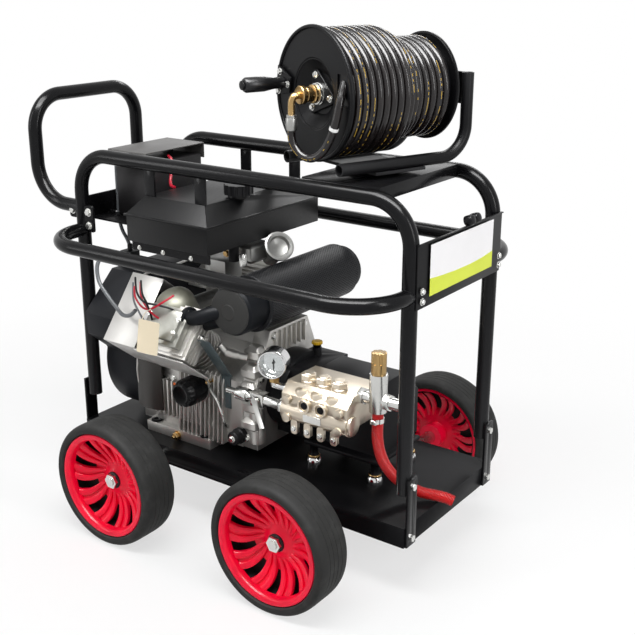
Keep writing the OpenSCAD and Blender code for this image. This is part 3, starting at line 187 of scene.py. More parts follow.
class Shape:
    """Collects the points, faces and paints of one piece."""

    def __init__(self):
        self.points = []
        self.faces = []
        self.paints = []
        self.uvs = {}

    def skin(self, rings, paint=0, caps=True, loop=False, uv=None):
        """Joins rings of equal count; uv gives each ring's distance along."""
        start, count = len(self.points), len(rings[0])
        for ring in rings:
            self.points += [Vector(p) for p in ring]
        spans = len(rings) if loop else len(rings) - 1
        for i in range(spans):
            low, high = start + i * count, start + (i + 1) % len(rings) * count
            for k in range(count):
                j = (k + 1) % count
                if uv:
                    a, b = k / count, (k + 1) / count
                    self.uvs[len(self.faces)] = ((uv[i], a), (uv[i], b), (uv[i + 1], b), (uv[i + 1], a))
                self.faces.append((low + k, low + j, high + j, high + k))
                self.paints.append(paint)
        if caps and not loop:
            end = start + (len(rings) - 1) * count
            self.faces.append(tuple(range(start, start + count))[::-1])
            self.faces.append(tuple(range(end, end + count)))
            self.paints += [paint, paint]

    def lathe(self, profile, place=Matrix(), sides=40, paint=0, closed=False, uv=None):
        """Turns (radius, height) pairs about +Z; closed joins the last pair to the first."""
        rings = []
        for r, z in profile:
            rings.append([place @ Vector((r * cos(2 * pi * k / sides), r * sin(2 * pi * k / sides), z))
                          for k in range(sides)])
        self.skin(rings, paint, not closed, closed, uv)

    def tube(self, path, radius, sides=12, paint=0, first=(0, 0, 1), uv=False):
        """A round tube along the path; radius is a number or one number for each point."""
        path = [Vector(p) for p in path]
        radii = radius if isinstance(radius, list) else [radius] * len(path)
        side, rings = Vector(first), []
        for i, p in enumerate(path):
            run = heading(path, i)
            side = (side - side.dot(run) * run).normalized()
            rings.append(circle(p, radii[i], run, side, sides))
        self.skin(rings, paint, uv=along(path) if uv else None)

    def plate(self, outline, thick, place=Matrix(), edge=0.0008, paint=0):
        """An outline raised from z = 0 to thick, with chamfered edges."""
        edge = min(edge, thick / 2.5)
        small = inset(outline, edge)
        levels = ((small, 0), (outline, edge), (outline, thick - edge), (small, thick))
        self.skin([[place @ Vector((x, y, z)) for x, y in ring] for ring, z in levels], paint)

    def block(self, size, place=Matrix(), edge=0.002, paint=0):
        """A box about the origin with chamfered edges."""
        low = place @ at(0, 0, -size[2] / 2)
        self.plate(rounded(size[0], size[1], edge, 2), size[2], low, edge, paint)

    def bolt(self, place, flats, paint=0, head=0.42, washer=1.0):
        """A hexagon head with its washer, seated at z = 0."""
        r, h = flats / 2 / cos(pi / 6), flats * head
        if washer:
            wide = r * 1.28 * washer
            self.lathe(((wide, 0), (wide, h * 0.22), (r, h * 0.26)), place, 20, paint)
        lift = place @ at(0, 0, h * 0.2 if washer else 0)
        self.lathe(((r, 0), (r, h * 0.86), (r * 0.86, h)), lift, 6, paint)

    def screw(self, place, r, paint=0):
        """A round button head with a socket."""
        self.lathe(((r, 0), (r, r * 0.35), (r * 0.8, r * 0.66), (r * 0.45, r * 0.78), (r * 0.42, r * 0.4),
                    (0, r * 0.4)), place, 16, paint)


def piece(name, shape, body, slot, *paints, sharp=34, hides=()):
    """Makes the object of a shape, on its body, in the named paints; the slot argument is not used."""
    mesh = bpy.data.meshes.new(name)
    mesh.from_pydata(shape.points, [], shape.faces)
    for paint in paints:
        mesh.materials.append(PAINTS[paint])
    mesh.polygons.foreach_set("material_index", shape.paints)
    if shape.uvs:
        layer = mesh.uv_layers.new(name="along")
        for face, corners in shape.uvs.items():
            for loop, pair in zip(mesh.polygons[face].loop_indices, corners):
                layer.data[loop].uv = pair
    work = bmesh.new()
    work.from_mesh(mesh)
    bmesh.ops.remove_doubles(work, verts=work.verts, dist=1e-6)
    bmesh.ops.dissolve_degenerate(work, edges=work.edges, dist=1e-7)
    bmesh.ops.recalc_face_normals(work, faces=work.faces)
    work.to_mesh(mesh)
    work.free()
    mesh.polygons.foreach_set("use_smooth", [True] * len(mesh.polygons))
    mesh.set_sharp_from_angle(angle=radians(sharp))
    made = bpy.data.objects.new(name, mesh)
    bpy.context.scene.collection.objects.link(made)
    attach(made, body)
    if hides:
        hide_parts(*hides)
    return made


# Shader maths
class Value:
    """A socket that takes part in sums: each operator adds one Math node."""

    def __init__(self, paint, socket):
        self.paint = paint
        self.socket = socket

    def __add__(self, other):
        return self.paint.maths("ADD", self, other)

    def __sub__(self, other):
        return self.paint.maths("SUBTRACT", self, other)

    def __rsub__(self, other):
        return self.paint.maths("SUBTRACT", other, self)

    def __mul__(self, other):
        return self.paint.maths("MULTIPLY", self, other)

    def __gt__(self, other):
        return self.paint.maths("GREATER_THAN", self, other)

    def __lt__(self, other):
        return self.paint.maths("LESS_THAN", self, other)

    __radd__ = __add__


class Paint:
    """One material, with its nodes made by calls."""

    def __init__(self, name):
        self.material = bpy.data.materials.new(name)
        self.material.use_nodes = True
        self.tree = self.material.node_tree
        self.tree.nodes.clear()

    def node(self, kind, settings=None, inputs=None, out=0):
        """Adds a node, sets it and feeds its sockets; gives the named output."""
        made = self.tree.nodes.new(kind)
        for key, value in (settings or {}).items():
            setattr(made, key, value)
        for key, value in (inputs or {}).items():
            self.feed(made.inputs[key], value)
        return Value(self, made.outputs[out]) if made.outputs else None

    def feed(self, socket, value):
        if isinstance(value, Value):
            self.tree.links.new(value.socket, socket)
        elif socket.type == "RGBA":
            socket.default_value = (*value[:3], 1.0)
        else:
            socket.default_value = value

    def maths(self, operation, *values):
        return self.node("ShaderNodeMath", {"operation": operation}, dict(enumerate(values)))

    def mix(self, factor, a, b):
        """Blends two colours."""
        return self.node("ShaderNodeMix", {"data_type": "RGBA"}, {0: factor, 6: a, 7: b}, 2)

    def noise(self, scale, detail=3.0, rough=0.55):
        place = self.node("ShaderNodeTexCoord", out="Object")
        return self.node("ShaderNodeTexNoise", inputs={
            "Vector": place, "Scale": scale, "Detail": detail, "Roughness": rough}, out="Fac")

    def band(self, value, low, high):
        """0 below low, 1 above high, and a smooth step between."""
        return self.node("ShaderNodeMapRange", {"interpolation_type": "SMOOTHSTEP"}, {
            "Value": value, "From Min": low, "From Max": high})

    def edge_wear(self, low=0.53, high=0.60):
        """1 on sharp outer edges."""
        return self.band(self.node("ShaderNodeNewGeometry", out="Pointiness"), low, high)

    def upward(self):
        """1 on faces that look up."""
        normal = self.node("ShaderNodeNewGeometry", out="Normal")
        return self.node("ShaderNodeSeparateXYZ", inputs={"Vector": normal}, out="Z")

    def along(self, out):
        """Distance along a tube (X) or share of the turn round it (Y)."""
        place = self.node("ShaderNodeUVMap", {"uv_map": "along"})
        return self.node("ShaderNodeSeparateXYZ", inputs={"Vector": place}, out=out)

    def surface(self, height=None, depth=0.0004, **sockets):
        """Ends the material: a Principled shader fed by name, with the height as its bump."""
        names = {}
        for key, value in sockets.items():
            names[key.replace("_", " ").title().replace("Ior", "IOR")] = value
        if height is not None:
            names["Normal"] = self.node("ShaderNodeBump", inputs={
                "Strength": 1.0, "Distance": depth, "Height": height}, out="Normal")
        shader = self.node("ShaderNodeBsdfPrincipled", inputs=names)
        self.node("ShaderNodeOutputMaterial", inputs={"Surface": shader})
        return self.material


def tint(shade, factor):
    """The colour made lighter or darker by the factor."""
    return tuple(min(1.0, c * factor) for c in shade)


# Finishes
def powder_coat(name, shade, rough=0.30, dust=0.2, gloss=0.30, ior=1.30):
    """Black powder coat: orange peel, faint dust on top and rubbed edges."""
    p = Paint(name)
    cloud = p.noise(9, 4)
    peel = p.noise(420, 2)
    dusty = p.band(p.upward(), 0.55, 1.0) * p.band(cloud, 0.42, 0.72) * dust
    base = p.mix(cloud * 0.6, tint(shade, 0.8), tint(shade, 1.3))
    base = p.mix(dusty * 0.12, base, (0.16, 0.15, 0.14))
    base = p.mix(p.edge_wear(0.55, 0.66) * 0.10, base, (0.20, 0.20, 0.21))
    return p.surface(peel, 0.00005, base_color=base, roughness=rough + cloud * 0.10 + dusty * 0.2,
                     specular_ior_level=gloss, ior=ior)


def moulded(name, shade, rough=0.38, grain=260, depth=0.00008, coat=0.0, gloss=0.3):
    """Moulded plastic: fine grain and a slow change of tone."""
    p = Paint(name)
    cloud = p.noise(14, 3)
    fine = p.noise(grain, 2)
    base = p.mix(p.band(cloud, 0.3, 0.75), tint(shade, 0.86), tint(shade, 1.1))
    base = p.mix(p.edge_wear() * 0.12, base, tint(shade, 1.6))
    return p.surface(fine, depth, base_color=base, roughness=rough + (fine - 0.5) * 0.12, coat_weight=coat,
                     coat_roughness=0.15, specular_ior_level=gloss)


def tyre_rubber(shade):
    """Matte rubber with scuffs round the tread."""
    p = Paint("tyre_rubber")
    scuff = p.noise(34, 5, 0.65)
    fine = p.noise(600, 2)
    base = p.mix(p.band(scuff, 0.45, 0.75), shade, tint(shade, 1.9))
    return p.surface(fine, 0.00012, base_color=base, roughness=0.72 + (scuff - 0.5) * 0.2,
                     specular_ior_level=0.2)


def cast_metal(name, shade, rough=0.42, grain=210, soot=0.5, metallic=0.85):
    """Sand-cast alloy: grain, stains in the hollows and bright edges."""
    p = Paint(name)
    stain = p.noise(17, 5, 0.62)
    fine = p.noise(grain, 3)
    base = p.mix(p.band(stain, 0.5, 0.78) * soot, shade, tint(shade, 0.42))
    base = p.mix(p.edge_wear() * 0.5, base, tint(shade, 1.45))
    return p.surface(fine, 0.00022, base_color=base, metallic=metallic,
                     roughness=rough + (stain - 0.5) * 0.25 + (fine - 0.5) * 0.1)


def plated(name, shade, rough=0.22, blotch=0.3):
    """Bright plated or turned metal with fine lines and faint blotches."""
    p = Paint(name)
    cloud = p.noise(26, 4)
    fine = p.noise(700, 2)
    base = p.mix(p.band(cloud, 0.45, 0.8) * blotch, shade, tint(shade, 0.6))
    base = p.mix(p.edge_wear() * 0.3, base, tint(shade, 1.3))
    return p.surface(fine, 0.00003, base_color=base, metallic=1.0, roughness=rough + (cloud - 0.5) * 0.16)


def painted_sheet(name, shade, rough=0.4, metallic=0.35):
    """Painted sheet metal with light smears."""
    p = Paint(name)
    smear = p.noise(11, 5, 0.6)
    fine = p.noise(330, 2)
    base = p.mix(p.band(smear, 0.48, 0.8) * 0.55, shade, tint(shade, 0.68))
    base = p.mix(p.edge_wear() * 0.35, base, tint(shade, 1.35))
    return p.surface(fine, 0.00008, base_color=base, metallic=metallic,
                     roughness=rough + (smear - 0.5) * 0.22)


# Marks of the reel hose: cells and groups in a metre, shares left bare, half width in turns
MARK_CELLS, MARK_GROUPS = 210, 7
BARE_CELLS, BARE_GROUPS, MARK_HALF = 0.45, 0.42, 0.014


def marked_hose(shade, mark):
    """Black hose with broken yellow dashes along its outer side."""
    p = Paint("hose_black")
    run, turn = p.along("X"), p.along("Y")
    chances = []
    for cells in (MARK_CELLS, MARK_GROUPS):
        cell = p.maths("FLOOR", run * cells)
        chances.append(p.node("ShaderNodeTexWhiteNoise", {"noise_dimensions": "1D"}, {"W": cell}, "Value"))
    line = p.maths("ABSOLUTE", p.maths("FRACT", turn + 0.5) - 0.5)
    dash = (line < MARK_HALF) * (chances[0] > BARE_CELLS) * (chances[1] > BARE_GROUPS)
    fine = p.noise(380, 3)
    base = p.mix(p.noise(30, 3), shade, (0.012, 0.008, 0.007))
    base = p.mix(dash * 0.9, base, mark)
    return p.surface(fine, 0.00004, base_color=base, roughness=0.22 + (fine - 0.5) * 0.08,
                     specular_ior_level=0.40)


def hose_with_painted_highlight(shade):
    """Red hose with a painted highlight: a pale band along one side."""
    p = Paint("hose_red")
    turn = p.along("Y")
    # Painted highlight: a pale band at one place round the hose
    highlight_band = p.band(p.maths("ABSOLUTE", turn - 0.34), 0.055, 0.045)
    cloud = p.noise(40, 3)
    base = p.mix(cloud * 0.7, shade, tint(shade, 0.7))
    base = p.mix(highlight_band * 0.55, base, (0.75, 0.45, 0.42))
    return p.surface(p.noise(500, 2), 0.00005, base_color=base, roughness=0.3 + cloud * 0.15)


def pierced_sheet(shade):
    """Black sheet with rows of small holes."""
    p = Paint("pierced_black")
    row = p.along("X") * 200
    column = p.along("Y") * 68 + p.maths("FLOOR", row) * 0.5
    x, y = p.maths("FRACT", column) - 0.5, p.maths("FRACT", row) - 0.5
    hole = p.band(p.maths("SQRT", x * x + y * y), 0.34, 0.24)
    base = p.mix(hole, tint(shade, 1.3), (0.0015, 0.0015, 0.0018))
    return p.surface(1 - hole, 0.0006, base_color=base, roughness=0.42 + hole * 0.4, specular_ior_level=0.2)


def clear_glass():
    """Lens with a faint haze."""
    p = Paint("gauge_glass")
    return p.surface(base_color=(0.96, 0.98, 0.98), roughness=0.02 + p.noise(60, 2) * 0.02,
                     transmission_weight=1.0, ior=1.2)


def plain_face(name, shade, rough=0.5):
    """Printed sheet with a slight mottle."""
    p = Paint(name)
    cloud = p.noise(22, 4)
    base = p.mix(cloud * 0.5, shade, tint(shade, 0.9))
    return p.surface(p.noise(240, 2), 0.00004, base_color=base, roughness=rough + (cloud - 0.5) * 0.15)


PAINTS = {}


def mix_paints(colours):
    """Makes every finish once, by material slot or by name."""
    black = tuple(colours.frame_black)
    steel, brass = tuple(colours.steel), tuple(colours.brass)
    alloy, nickel = tuple(colours.alloy), tuple(colours.nickel)
    PAINTS.update({
        "frame_black": powder_coat("frame_black", black, 0.15, gloss=0.45, ior=1.25),
        "tray_black": powder_coat("tray_black", black, 0.24, gloss=0.5, ior=1.10),
        "sign_black": powder_coat("sign_black", black, 0.34),
        "reel_black": powder_coat("reel_black", black, 0.30),
        "blower_black": powder_coat("blower_black", (0.012, 0.013, 0.016), 0.45),
        "gearbox_black": powder_coat("gearbox_black", (0.005, 0.005, 0.006), 0.38),
        "muffler_black": powder_coat("muffler_black", (0.004, 0.005, 0.007), 0.40, 0.1),
        "muffler_grey": powder_coat("muffler_grey", (0.034, 0.034, 0.033), 0.55, 0.1),
        "starter_black": powder_coat("starter_black", (0.012, 0.012, 0.013), 0.4),
        "filter_black": powder_coat("filter_black", (0.004, 0.004, 0.0045), 0.22, 0.1),
        "zinc": plated("zinc", steel, 0.26),
        "ferrule_dull": plated("ferrule_dull", tint(steel, 0.55), 0.34),
        "steel_shaft": plated("steel_shaft", tint(steel, 0.8), 0.3),
        "rim_red": moulded("rim_red", tuple(colours.crimson), 0.30, coat=0.2, gloss=0.14),
        # Painted shade: near-black for the liner and back disc inside the red rims
        "rim_painted_shade": moulded("rim_painted_shade", (0.006, 0.005, 0.005), 0.7),
        "tyre_rubber": tyre_rubber(tuple(colours.rubber)),
        "battery_black": moulded("battery_black", (0.012, 0.011, 0.012), 0.5),
        "lid_grey": painted_sheet("lid_grey", tuple(colours.lid_grey), 0.45, 0.2),
        "cable_red": moulded("cable_red", (0.55, 0.006, 0.03), 0.42),
        "tank_black": moulded("tank_black", (0.004, 0.004, 0.0045), 0.36, 180, gloss=0.2),
        "cap_black": moulded("cap_black", (0.004, 0.004, 0.005), 0.34, gloss=0.2),
        "cast_aluminium": cast_metal("cast_aluminium", alloy),
        "shroud_silver": painted_sheet("shroud_silver", tuple(colours.silver), 0.38, 0.45),
        "carb_grey": cast_metal("carb_grey", (0.30, 0.30, 0.29), 0.38),
        "shield_slate": painted_sheet("shield_slate", tuple(colours.slate), 0.42, 0.2),
        "fan_plastic": moulded("fan_plastic", (0.03, 0.032, 0.034), 0.5),
        "dipstick_yellow": moulded("dipstick_yellow", tuple(colours.cap_yellow), 0.35),
        "manifold_nickel": cast_metal("manifold_nickel", nickel, 0.34, 300, 0.22, 0.95),
        "foot_chrome": plated("foot_chrome", (0.62, 0.62, 0.62), 0.08, 0.1),
        "gauge_steel": plated("gauge_steel", (0.58, 0.58, 0.58), 0.14, 0.15),
        "gauge_glass": clear_glass(),
        "needle_black": moulded("needle_black", (0.006, 0.006, 0.006), 0.4),
        "tee_nickel": plated("tee_nickel", tint(steel, 0.95), 0.24),
        "lever_steel": plated("lever_steel", tint(steel, 0.9), 0.3),
        "knob_brass": plated("knob_brass", brass, 0.28, 0.45),
        "hose_red": hose_with_painted_highlight(tuple(colours.hose_red)),
        "hose_black": marked_hose((0.005, 0.005, 0.006), tuple(colours.dash_yellow)),
        "grip_black": moulded("grip_black", (0.007, 0.007, 0.008), 0.3),
        "pierced_black": pierced_sheet((0.0045, 0.005, 0.007)),
        "panel_white": plain_face("panel_white", (0.80, 0.79, 0.80), 0.35),
        "panel_lime": plain_face("panel_lime", tuple(colours.lime), 0.35),
        "dial_white": plain_face("dial_white", (0.80, 0.80, 0.79), 0.4),
        "tag_cream": plain_face("tag_cream", (0.78, 0.68, 0.50), 0.6),
        "wire_grey": moulded("wire_grey", (0.14, 0.15, 0.16), 0.4),
        "cover_grey": cast_metal("cover_grey", (0.27, 0.27, 0.245), 0.36),
        # Painted shade: dark brown for the side baffle, a silver sheet that lies in shade
        "baffle_painted_shade": painted_sheet("baffle_painted_shade", (0.035, 0.032, 0.029), 0.45, 0.3),
        "duct_olive": painted_sheet("duct_olive", (0.20, 0.20, 0.155), 0.45, 0.3),
        "orange_dot": moulded("orange_dot", (0.75, 0.13, 0.01), 0.4),
    })


# Finishing the CAD nodes
def shade_tree(angle):
    """Node group that shades a mesh smooth and keeps edges over the angle sharp."""
    tree = bpy.data.node_groups.new("smooth_by_angle", "GeometryNodeTree")
    tree.interface.new_socket("Mesh", in_out="INPUT", socket_type="NodeSocketGeometry")
    tree.interface.new_socket("Mesh", in_out="OUTPUT", socket_type="NodeSocketGeometry")
    names = ("NodeGroupInput", "NodeGroupOutput", "GeometryNodeSetShadeSmooth",
             "GeometryNodeSetShadeSmooth", "GeometryNodeInputMeshEdgeAngle", "ShaderNodeMath")
    start, end, faces, edges, turn, over = (tree.nodes.new(kind) for kind in names)
    faces.domain = "FACE"
    edges.domain = "EDGE"
    edges.inputs["Shade Smooth"].default_value = False
    over.operation = "GREATER_THAN"
    over.inputs[1].default_value = angle
    tree.links.new(turn.outputs["Unsigned Angle"], over.inputs[0])
    tree.links.new(start.outputs[0], faces.inputs["Geometry"])
    tree.links.new(faces.outputs[0], edges.inputs["Geometry"])
    tree.links.new(over.outputs[0], edges.inputs["Selection"])
    tree.links.new(edges.outputs[0], end.inputs[0])
    return tree


# Rounding of the nodes with soft edges, as a multiple of the edge size
EDGES = {
    "fuel_tank": 4.0, "battery": 2.0, "battery_lid": 1.2, "base_tray": 2.2, "blower_housing": 3.0,
    "cylinder_shrouds": 1.6, "crankcase": 1.6, "rocker_covers": 2.0, "gearbox": 2.5, "pump_case": 3.0,
    "pump_manifold": 2.0, "front_panel": 0.6, "heat_shield": 0.8, "reel_deck": 1.0, "crank_bracket": 0.8,
    "rear_cross_plate": 0.8, "unloader_knob": 0.8, "valve_lever": 0.8, "muffler": 1.5, "turntable": 1.0,
    "outlet_coupling": 0.6, "unloader_tee": 0.6, "frame_straps": 0.8, "carburettor": 1.5, "crank_grip": 2.0,
}
# Nodes whose finish differs from that of their slot
OTHER_PAINT = {"rocker_covers": "cover_grey", "base_tray": "tray_black"}
SHARP_ANGLE, FLAT_ANGLE, BEVEL_ANGLE = radians(32), radians(0.6), radians(38)
WELD_GAP = 1e-5


def finish_nodes(edge):
    """Gives every shown CAD node its finish, rounded edges and smooth shading."""
    tree = shade_tree(SHARP_ANGLE)
    for name, cad in frame["nodes"].items():
        cad.data.materials.clear()
        cad.data.materials.append(PAINTS[OTHER_PAINT.get(name, SLOT_OF[name])])
        if cad.hide_render:
            continue
        for extra in ("custom_normal", "sharp_face", "sharp_edge"):
            if extra in cad.data.attributes:
                cad.data.attributes.remove(cad.data.attributes[extra])
        weld = cad.modifiers.new("weld", "WELD")
        weld.merge_threshold = WELD_GAP
        if name in EDGES:
            flat = cad.modifiers.new("flat", "DECIMATE")
            flat.decimate_type = "DISSOLVE"
            flat.angle_limit = FLAT_ANGLE
            soft = cad.modifiers.new("soft", "BEVEL")
            soft.width = EDGES[name] * edge
            soft.segments = 2
            soft.limit_method = "ANGLE"
            soft.angle_limit = BEVEL_ANGLE
            soft.miter_outer = "MITER_ARC"
        shade = cad.modifiers.new("shade", "NODES")
        shade.node_group = tree


# Stage: camera, floor, world and lights
CAMERA_AT = Vector((1.485, -1.817, 1.268))
CAMERA_TO = Vector((0.179, 0.0008, 0.506))
CAMERA_ROLL = radians(0.1)
LENS_MM, SENSOR_MM, VIEW_END = 60.1, 36.0, 60.0
LIGHTS = (
    # name, place, target, width, height, power, lights matt surfaces
    ("key_above", (0.6, -1.3, 3.1), (0.1, 0.0, 0.4), 2.6, 0.40, 62.0, True),
    ("gloss_above", (0.3, -0.9, 3.0), (0.1, 0.0, 0.5), 3.0, 1.3, 250.0, False),
    ("left_strip", (-2.2, -2.2, 1.7), (0.0, 0.0, 0.5), 0.30, 1.9, 18.0, True),
    ("right_strip", (2.8, -0.4, 1.7), (0.2, 0.0, 0.5), 0.35, 1.8, 30.0, True),
    ("back_strip", (-0.6, 2.6, 2.4), (0.1, 0.0, 0.6), 2.4, 0.30, 26.0, True),
)
WORLD_LIGHT, FLOOR_GLOW = 0.45, 0.66
FLOOR_HALF, FADE_FROM, FADE_TO = 9.0, 0.7, 1.9


def white_floor():
    """Floor that is white to the eye, keeps the shadow near the object and fades into the backdrop."""
    p = Paint("floor_white")
    rays = ("Is Camera Ray", "Is Glossy Ray", "Is Transmission Ray")
    camera, glossy, through = (p.node("ShaderNodeLightPath", out=ray) for ray in rays)
    seen = p.maths("MAXIMUM", p.maths("MAXIMUM", camera, glossy), through)
    place = p.node("ShaderNodeTexCoord", out="Object")
    reach = p.node("ShaderNodeVectorMath", {"operation": "LENGTH"}, {0: place}, "Value")
    glow = FLOOR_GLOW + p.band(reach, FADE_FROM, FADE_TO) * (1 - FLOOR_GLOW)
    cloud = p.noise(2, 2)
    matte = p.node("ShaderNodeBsdfPrincipled", inputs={
        "Base Color": p.mix(cloud, (0.88, 0.88, 0.88), (0.86, 0.86, 0.86)), "Roughness": 0.85,
        "Specular IOR Level": 0.1})
    white = p.node("ShaderNodeEmission", inputs={"Color": (1.0, 1.0, 1.0), "Strength": 1.0})
    blend = p.node("ShaderNodeMixShader", inputs={0: seen * glow, 1: matte, 2: white})
    p.node("ShaderNodeOutputMaterial", inputs={"Surface": blend})
    return p.material


def set_stage():
    """The camera of the photograph, the floor, the world and the lamps."""
    scene = bpy.context.scene
    lens = bpy.data.cameras.new("photo_camera")
    lens.sensor_fit, lens.sensor_width, lens.lens = "HORIZONTAL", SENSOR_MM, LENS_MM
    lens.clip_end = VIEW_END
    camera = bpy.data.objects.new("photo_camera", lens)
    look = (CAMERA_TO - CAMERA_AT).to_track_quat("-Z", "Y").to_matrix().to_4x4()
    camera.matrix_world = Matrix.Translation(CAMERA_AT) @ look @ Matrix.Rotation(CAMERA_ROLL, 4, "Z")
    scene.camera = camera
    made = [camera]

    floor = bpy.data.meshes.new("floor")
    corners = [(x * FLOOR_HALF, y * FLOOR_HALF, 0) for x, y in ((-1, -1), (1, -1), (1, 1), (-1, 1))]
    floor.from_pydata(corners, [], [(0, 1, 2, 3)])
    floor.materials.append(white_floor())
    made.append(bpy.data.objects.new("floor", floor))

    world = bpy.data.worlds.new("studio_white")
    world.use_nodes = True
    tree = world.node_tree
    tree.nodes.clear()
    kinds = ("ShaderNodeBackground", "ShaderNodeBackground", "ShaderNodeMixShader", "ShaderNodeLightPath",
             "ShaderNodeMath", "ShaderNodeMath", "ShaderNodeOutputWorld")
    light, seen, blend, ray, first, second, out = (tree.nodes.new(kind) for kind in kinds)
    light.inputs["Strength"].default_value = WORLD_LIGHT
    seen.inputs["Strength"].default_value = 1.0
    for shade in (light, seen):
        shade.inputs["Color"].default_value = (1.0, 1.0, 1.0, 1.0)
    first.operation = second.operation = "MAXIMUM"
    tree.links.new(ray.outputs["Is Camera Ray"], first.inputs[0])
    tree.links.new(ray.outputs["Is Glossy Ray"], first.inputs[1])
    tree.links.new(first.outputs[0], second.inputs[0])
    tree.links.new(ray.outputs["Is Transmission Ray"], second.inputs[1])
    tree.links.new(second.outputs[0], blend.inputs[0])
    tree.links.new(light.outputs[0], blend.inputs[1])
    tree.links.new(seen.outputs[0], blend.inputs[2])
    tree.links.new(blend.outputs[0], out.inputs["Surface"])
    scene.world = world

    for name, place, target, width, height, power, matt in LIGHTS:
        lamp = bpy.data.lights.new(name, "AREA")
        lamp.shape, lamp.size, lamp.size_y, lamp.energy = "RECTANGLE", width, height, power
        holder = bpy.data.objects.new(name, lamp)
        aim = (Vector(target) - Vector(place)).to_track_quat("-Z", "Y").to_matrix().to_4x4()
        holder.matrix_world = Matrix.Translation(place) @ aim
        holder.visible_diffuse = matt
        made.append(holder)
    for item in made:
        scene.collection.objects.link(item)
    scene.view_settings.view_transform = "Standard"


# Cords: the by-pass hose and the battery cable
TEE = Vector(JOINTS["knob_turn"]["pos_m"])
HOSE_FROM = Vector((TEE.x, TEE.y, 0.3827))
HOSE_STEPS = (
    (0, 0, 0), (0, 0, -0.026), (0, 0, -0.058), (0.004, 0.004, -0.092), (0.014, 0.012, -0.124),
    (0.030, 0.025, -0.152), (0.052, 0.041, -0.173), (0.078, 0.056, -0.186), (0.104, 0.068, -0.190),
    (0.124, 0.076, -0.193), (0.140, 0.082, -0.199),
)
RIB_DEEP = 0.0018
CABLE_CAP = ((0.0062, 0), (0.0062, 0.014), (0.0052, 0.017))
CABLE_FROM = Vector((-0.323, -0.062, 0.825))
CABLE_STEPS = (
    (0, 0, 0), (-0.014, 0, 0), (-0.024, 0, -0.002), (-0.035, 0, -0.009), (-0.042, 0, -0.020),
    (-0.044, 0, -0.034), (-0.044, 0, -0.090), (-0.044, 0, -0.150), (-0.042, 0, -0.168), (-0.034, 0, -0.188),
    (-0.022, 0, -0.204), (-0.014, 0, -0.220), (-0.013, 0, -0.232),
)


def lay_cords(sizes):
    """The ribbed by-pass hose, which hangs free, and the battery cable."""
    path = smooth([HOSE_FROM + Vector(p) for p in HOSE_STEPS], 8 * sizes.ribs)
    total = along(path)
    rib = total[-1] / sizes.ribs
    outer = sizes.ribbed_r
    radii = [outer - RIB_DEEP * (0.5 - 0.5 * cos(2 * pi * d / rib)) ** 2 for d in total]
    s = Shape()
    s.tube(path, radii, 20, first=(0, -1, 0), uv=True)
    hose = piece("ribbed_hose_skin", s, "chassis", "hose_red", "hose_red", sharp=60,
                 hides=("ribbed_hose",))

    s = Shape()
    path = smooth([CABLE_FROM + Vector(p) for p in CABLE_STEPS], 90)
    s.tube(path, sizes.cable_r, 12, first=(0, 1, 0))
    s.lathe(CABLE_CAP, facing(path[-1], path[-6] - path[-1]), 14, 1)
    piece("battery_cable_skin", s, "chassis", "cable_red", "wire_grey", "cap_black",
          hides=("battery_cable",))


# Wheels
RIM_RING = (
    (0.1225, -0.043), (0.1225, 0.0405), (0.1208, 0.0432), (0.1135, 0.0438), (0.1098, 0.0420),
    (0.1070, 0.0375), (0.1052, 0.0300), (0.1060, 0.0240), (0.1120, 0.0205), (0.1165, 0.0170),
    (0.1165, -0.043),
)
# Liner and back disc inside the rim, in near-black: painted shade, so the openings between the spokes look dark
RIM_SHADE_LINER = ((0.1166, -0.0425), (0.1166, 0.0150), (0.1150, 0.0150), (0.1150, -0.0425))
RIM_SHADE_DISC = ((0.0600, -0.0080), (0.1160, -0.0060), (0.1160, -0.0080), (0.0600, -0.0100))
RIM_HUB = (
    (0.0102, -0.046), (0.030, -0.046), (0.030, -0.018), (0.062, -0.012), (0.0680, -0.0075),
    (0.0660, -0.0042), (0.0580, -0.0048), (0.0480, -0.0055), (0.0380, -0.0040), (0.0290, -0.0005),
    (0.0230, 0.0030), (0.0210, 0.0040), (0.0102, 0.0040),
)
HUB_SEAL = (
    (0.0150, 0.0036), (0.0196, 0.0036), (0.0196, 0.0066), (0.0184, 0.0078), (0.0162, 0.0078),
    (0.0150, 0.0066),
)
SPOKE_BAR = (
    # shares of a spoke's width and depth
    (-0.5, -1), (-0.5, -0.42), (-0.44, -0.18), (-0.26, -0.03), (0, 0), (0.26, -0.03), (0.44, -0.18),
    (0.5, -0.42), (0.5, -1),
)
SPOKE_IN, SPOKE_OUT, SPOKE_STEPS, SPOKE_DEEP = 0.036, 0.1090, 14, 0.0095
# Degrees from the middle of the pair at the hub, and how many are lost on the way to the lip
SPOKE_SPREAD, SPOKE_CLOSE = 7.9, 1.2
SPOKE_SWEEP, SPOKE_BOW, SPOKE_BOW_AT = 9, 34, 0.45
SPOKE_LOW, SPOKE_RISE, SPOKE_CURL = -0.0030, 0.0330, 1.5
SPOKE_THIN, SPOKE_WIDEN = 0.0086, 0.0094
WEB_TOP, WEB_UNDER = -0.0072, -0.0094
BACK_LEVEL, BACK_SHARE = -0.016, 0.6
TYRE_SIDE = (
    (0.1232, 0.0428), (0.1262, 0.0462), (0.1315, 0.0470), (0.1368, 0.0462), (0.1404, 0.0436),
    (0.1430, 0.0392), (0.1443, 0.0335), (0.1449, 0.0260),
)
TREAD_R = 0.145
TREAD_GROOVES, GROOVE_HALF, GROOVE_DEEP = (0.0200, 0.0070, -0.0070, -0.0200), 0.0008, 0.0006


def spoke_line(t, base, side):
    """Angle, radius, height and width of a spoke at share t from hub to lip."""
    r = SPOKE_IN + (SPOKE_OUT - SPOKE_IN) * t
    spread = radians(SPOKE_SPREAD - SPOKE_CLOSE * t) * side
    sweep = radians(SPOKE_SWEEP) * t - radians(SPOKE_BOW) * (t - SPOKE_BOW_AT) ** 2
    z = SPOKE_LOW + SPOKE_RISE * t ** SPOKE_CURL
    return base + spread + sweep, r, z, SPOKE_THIN + SPOKE_WIDEN * t


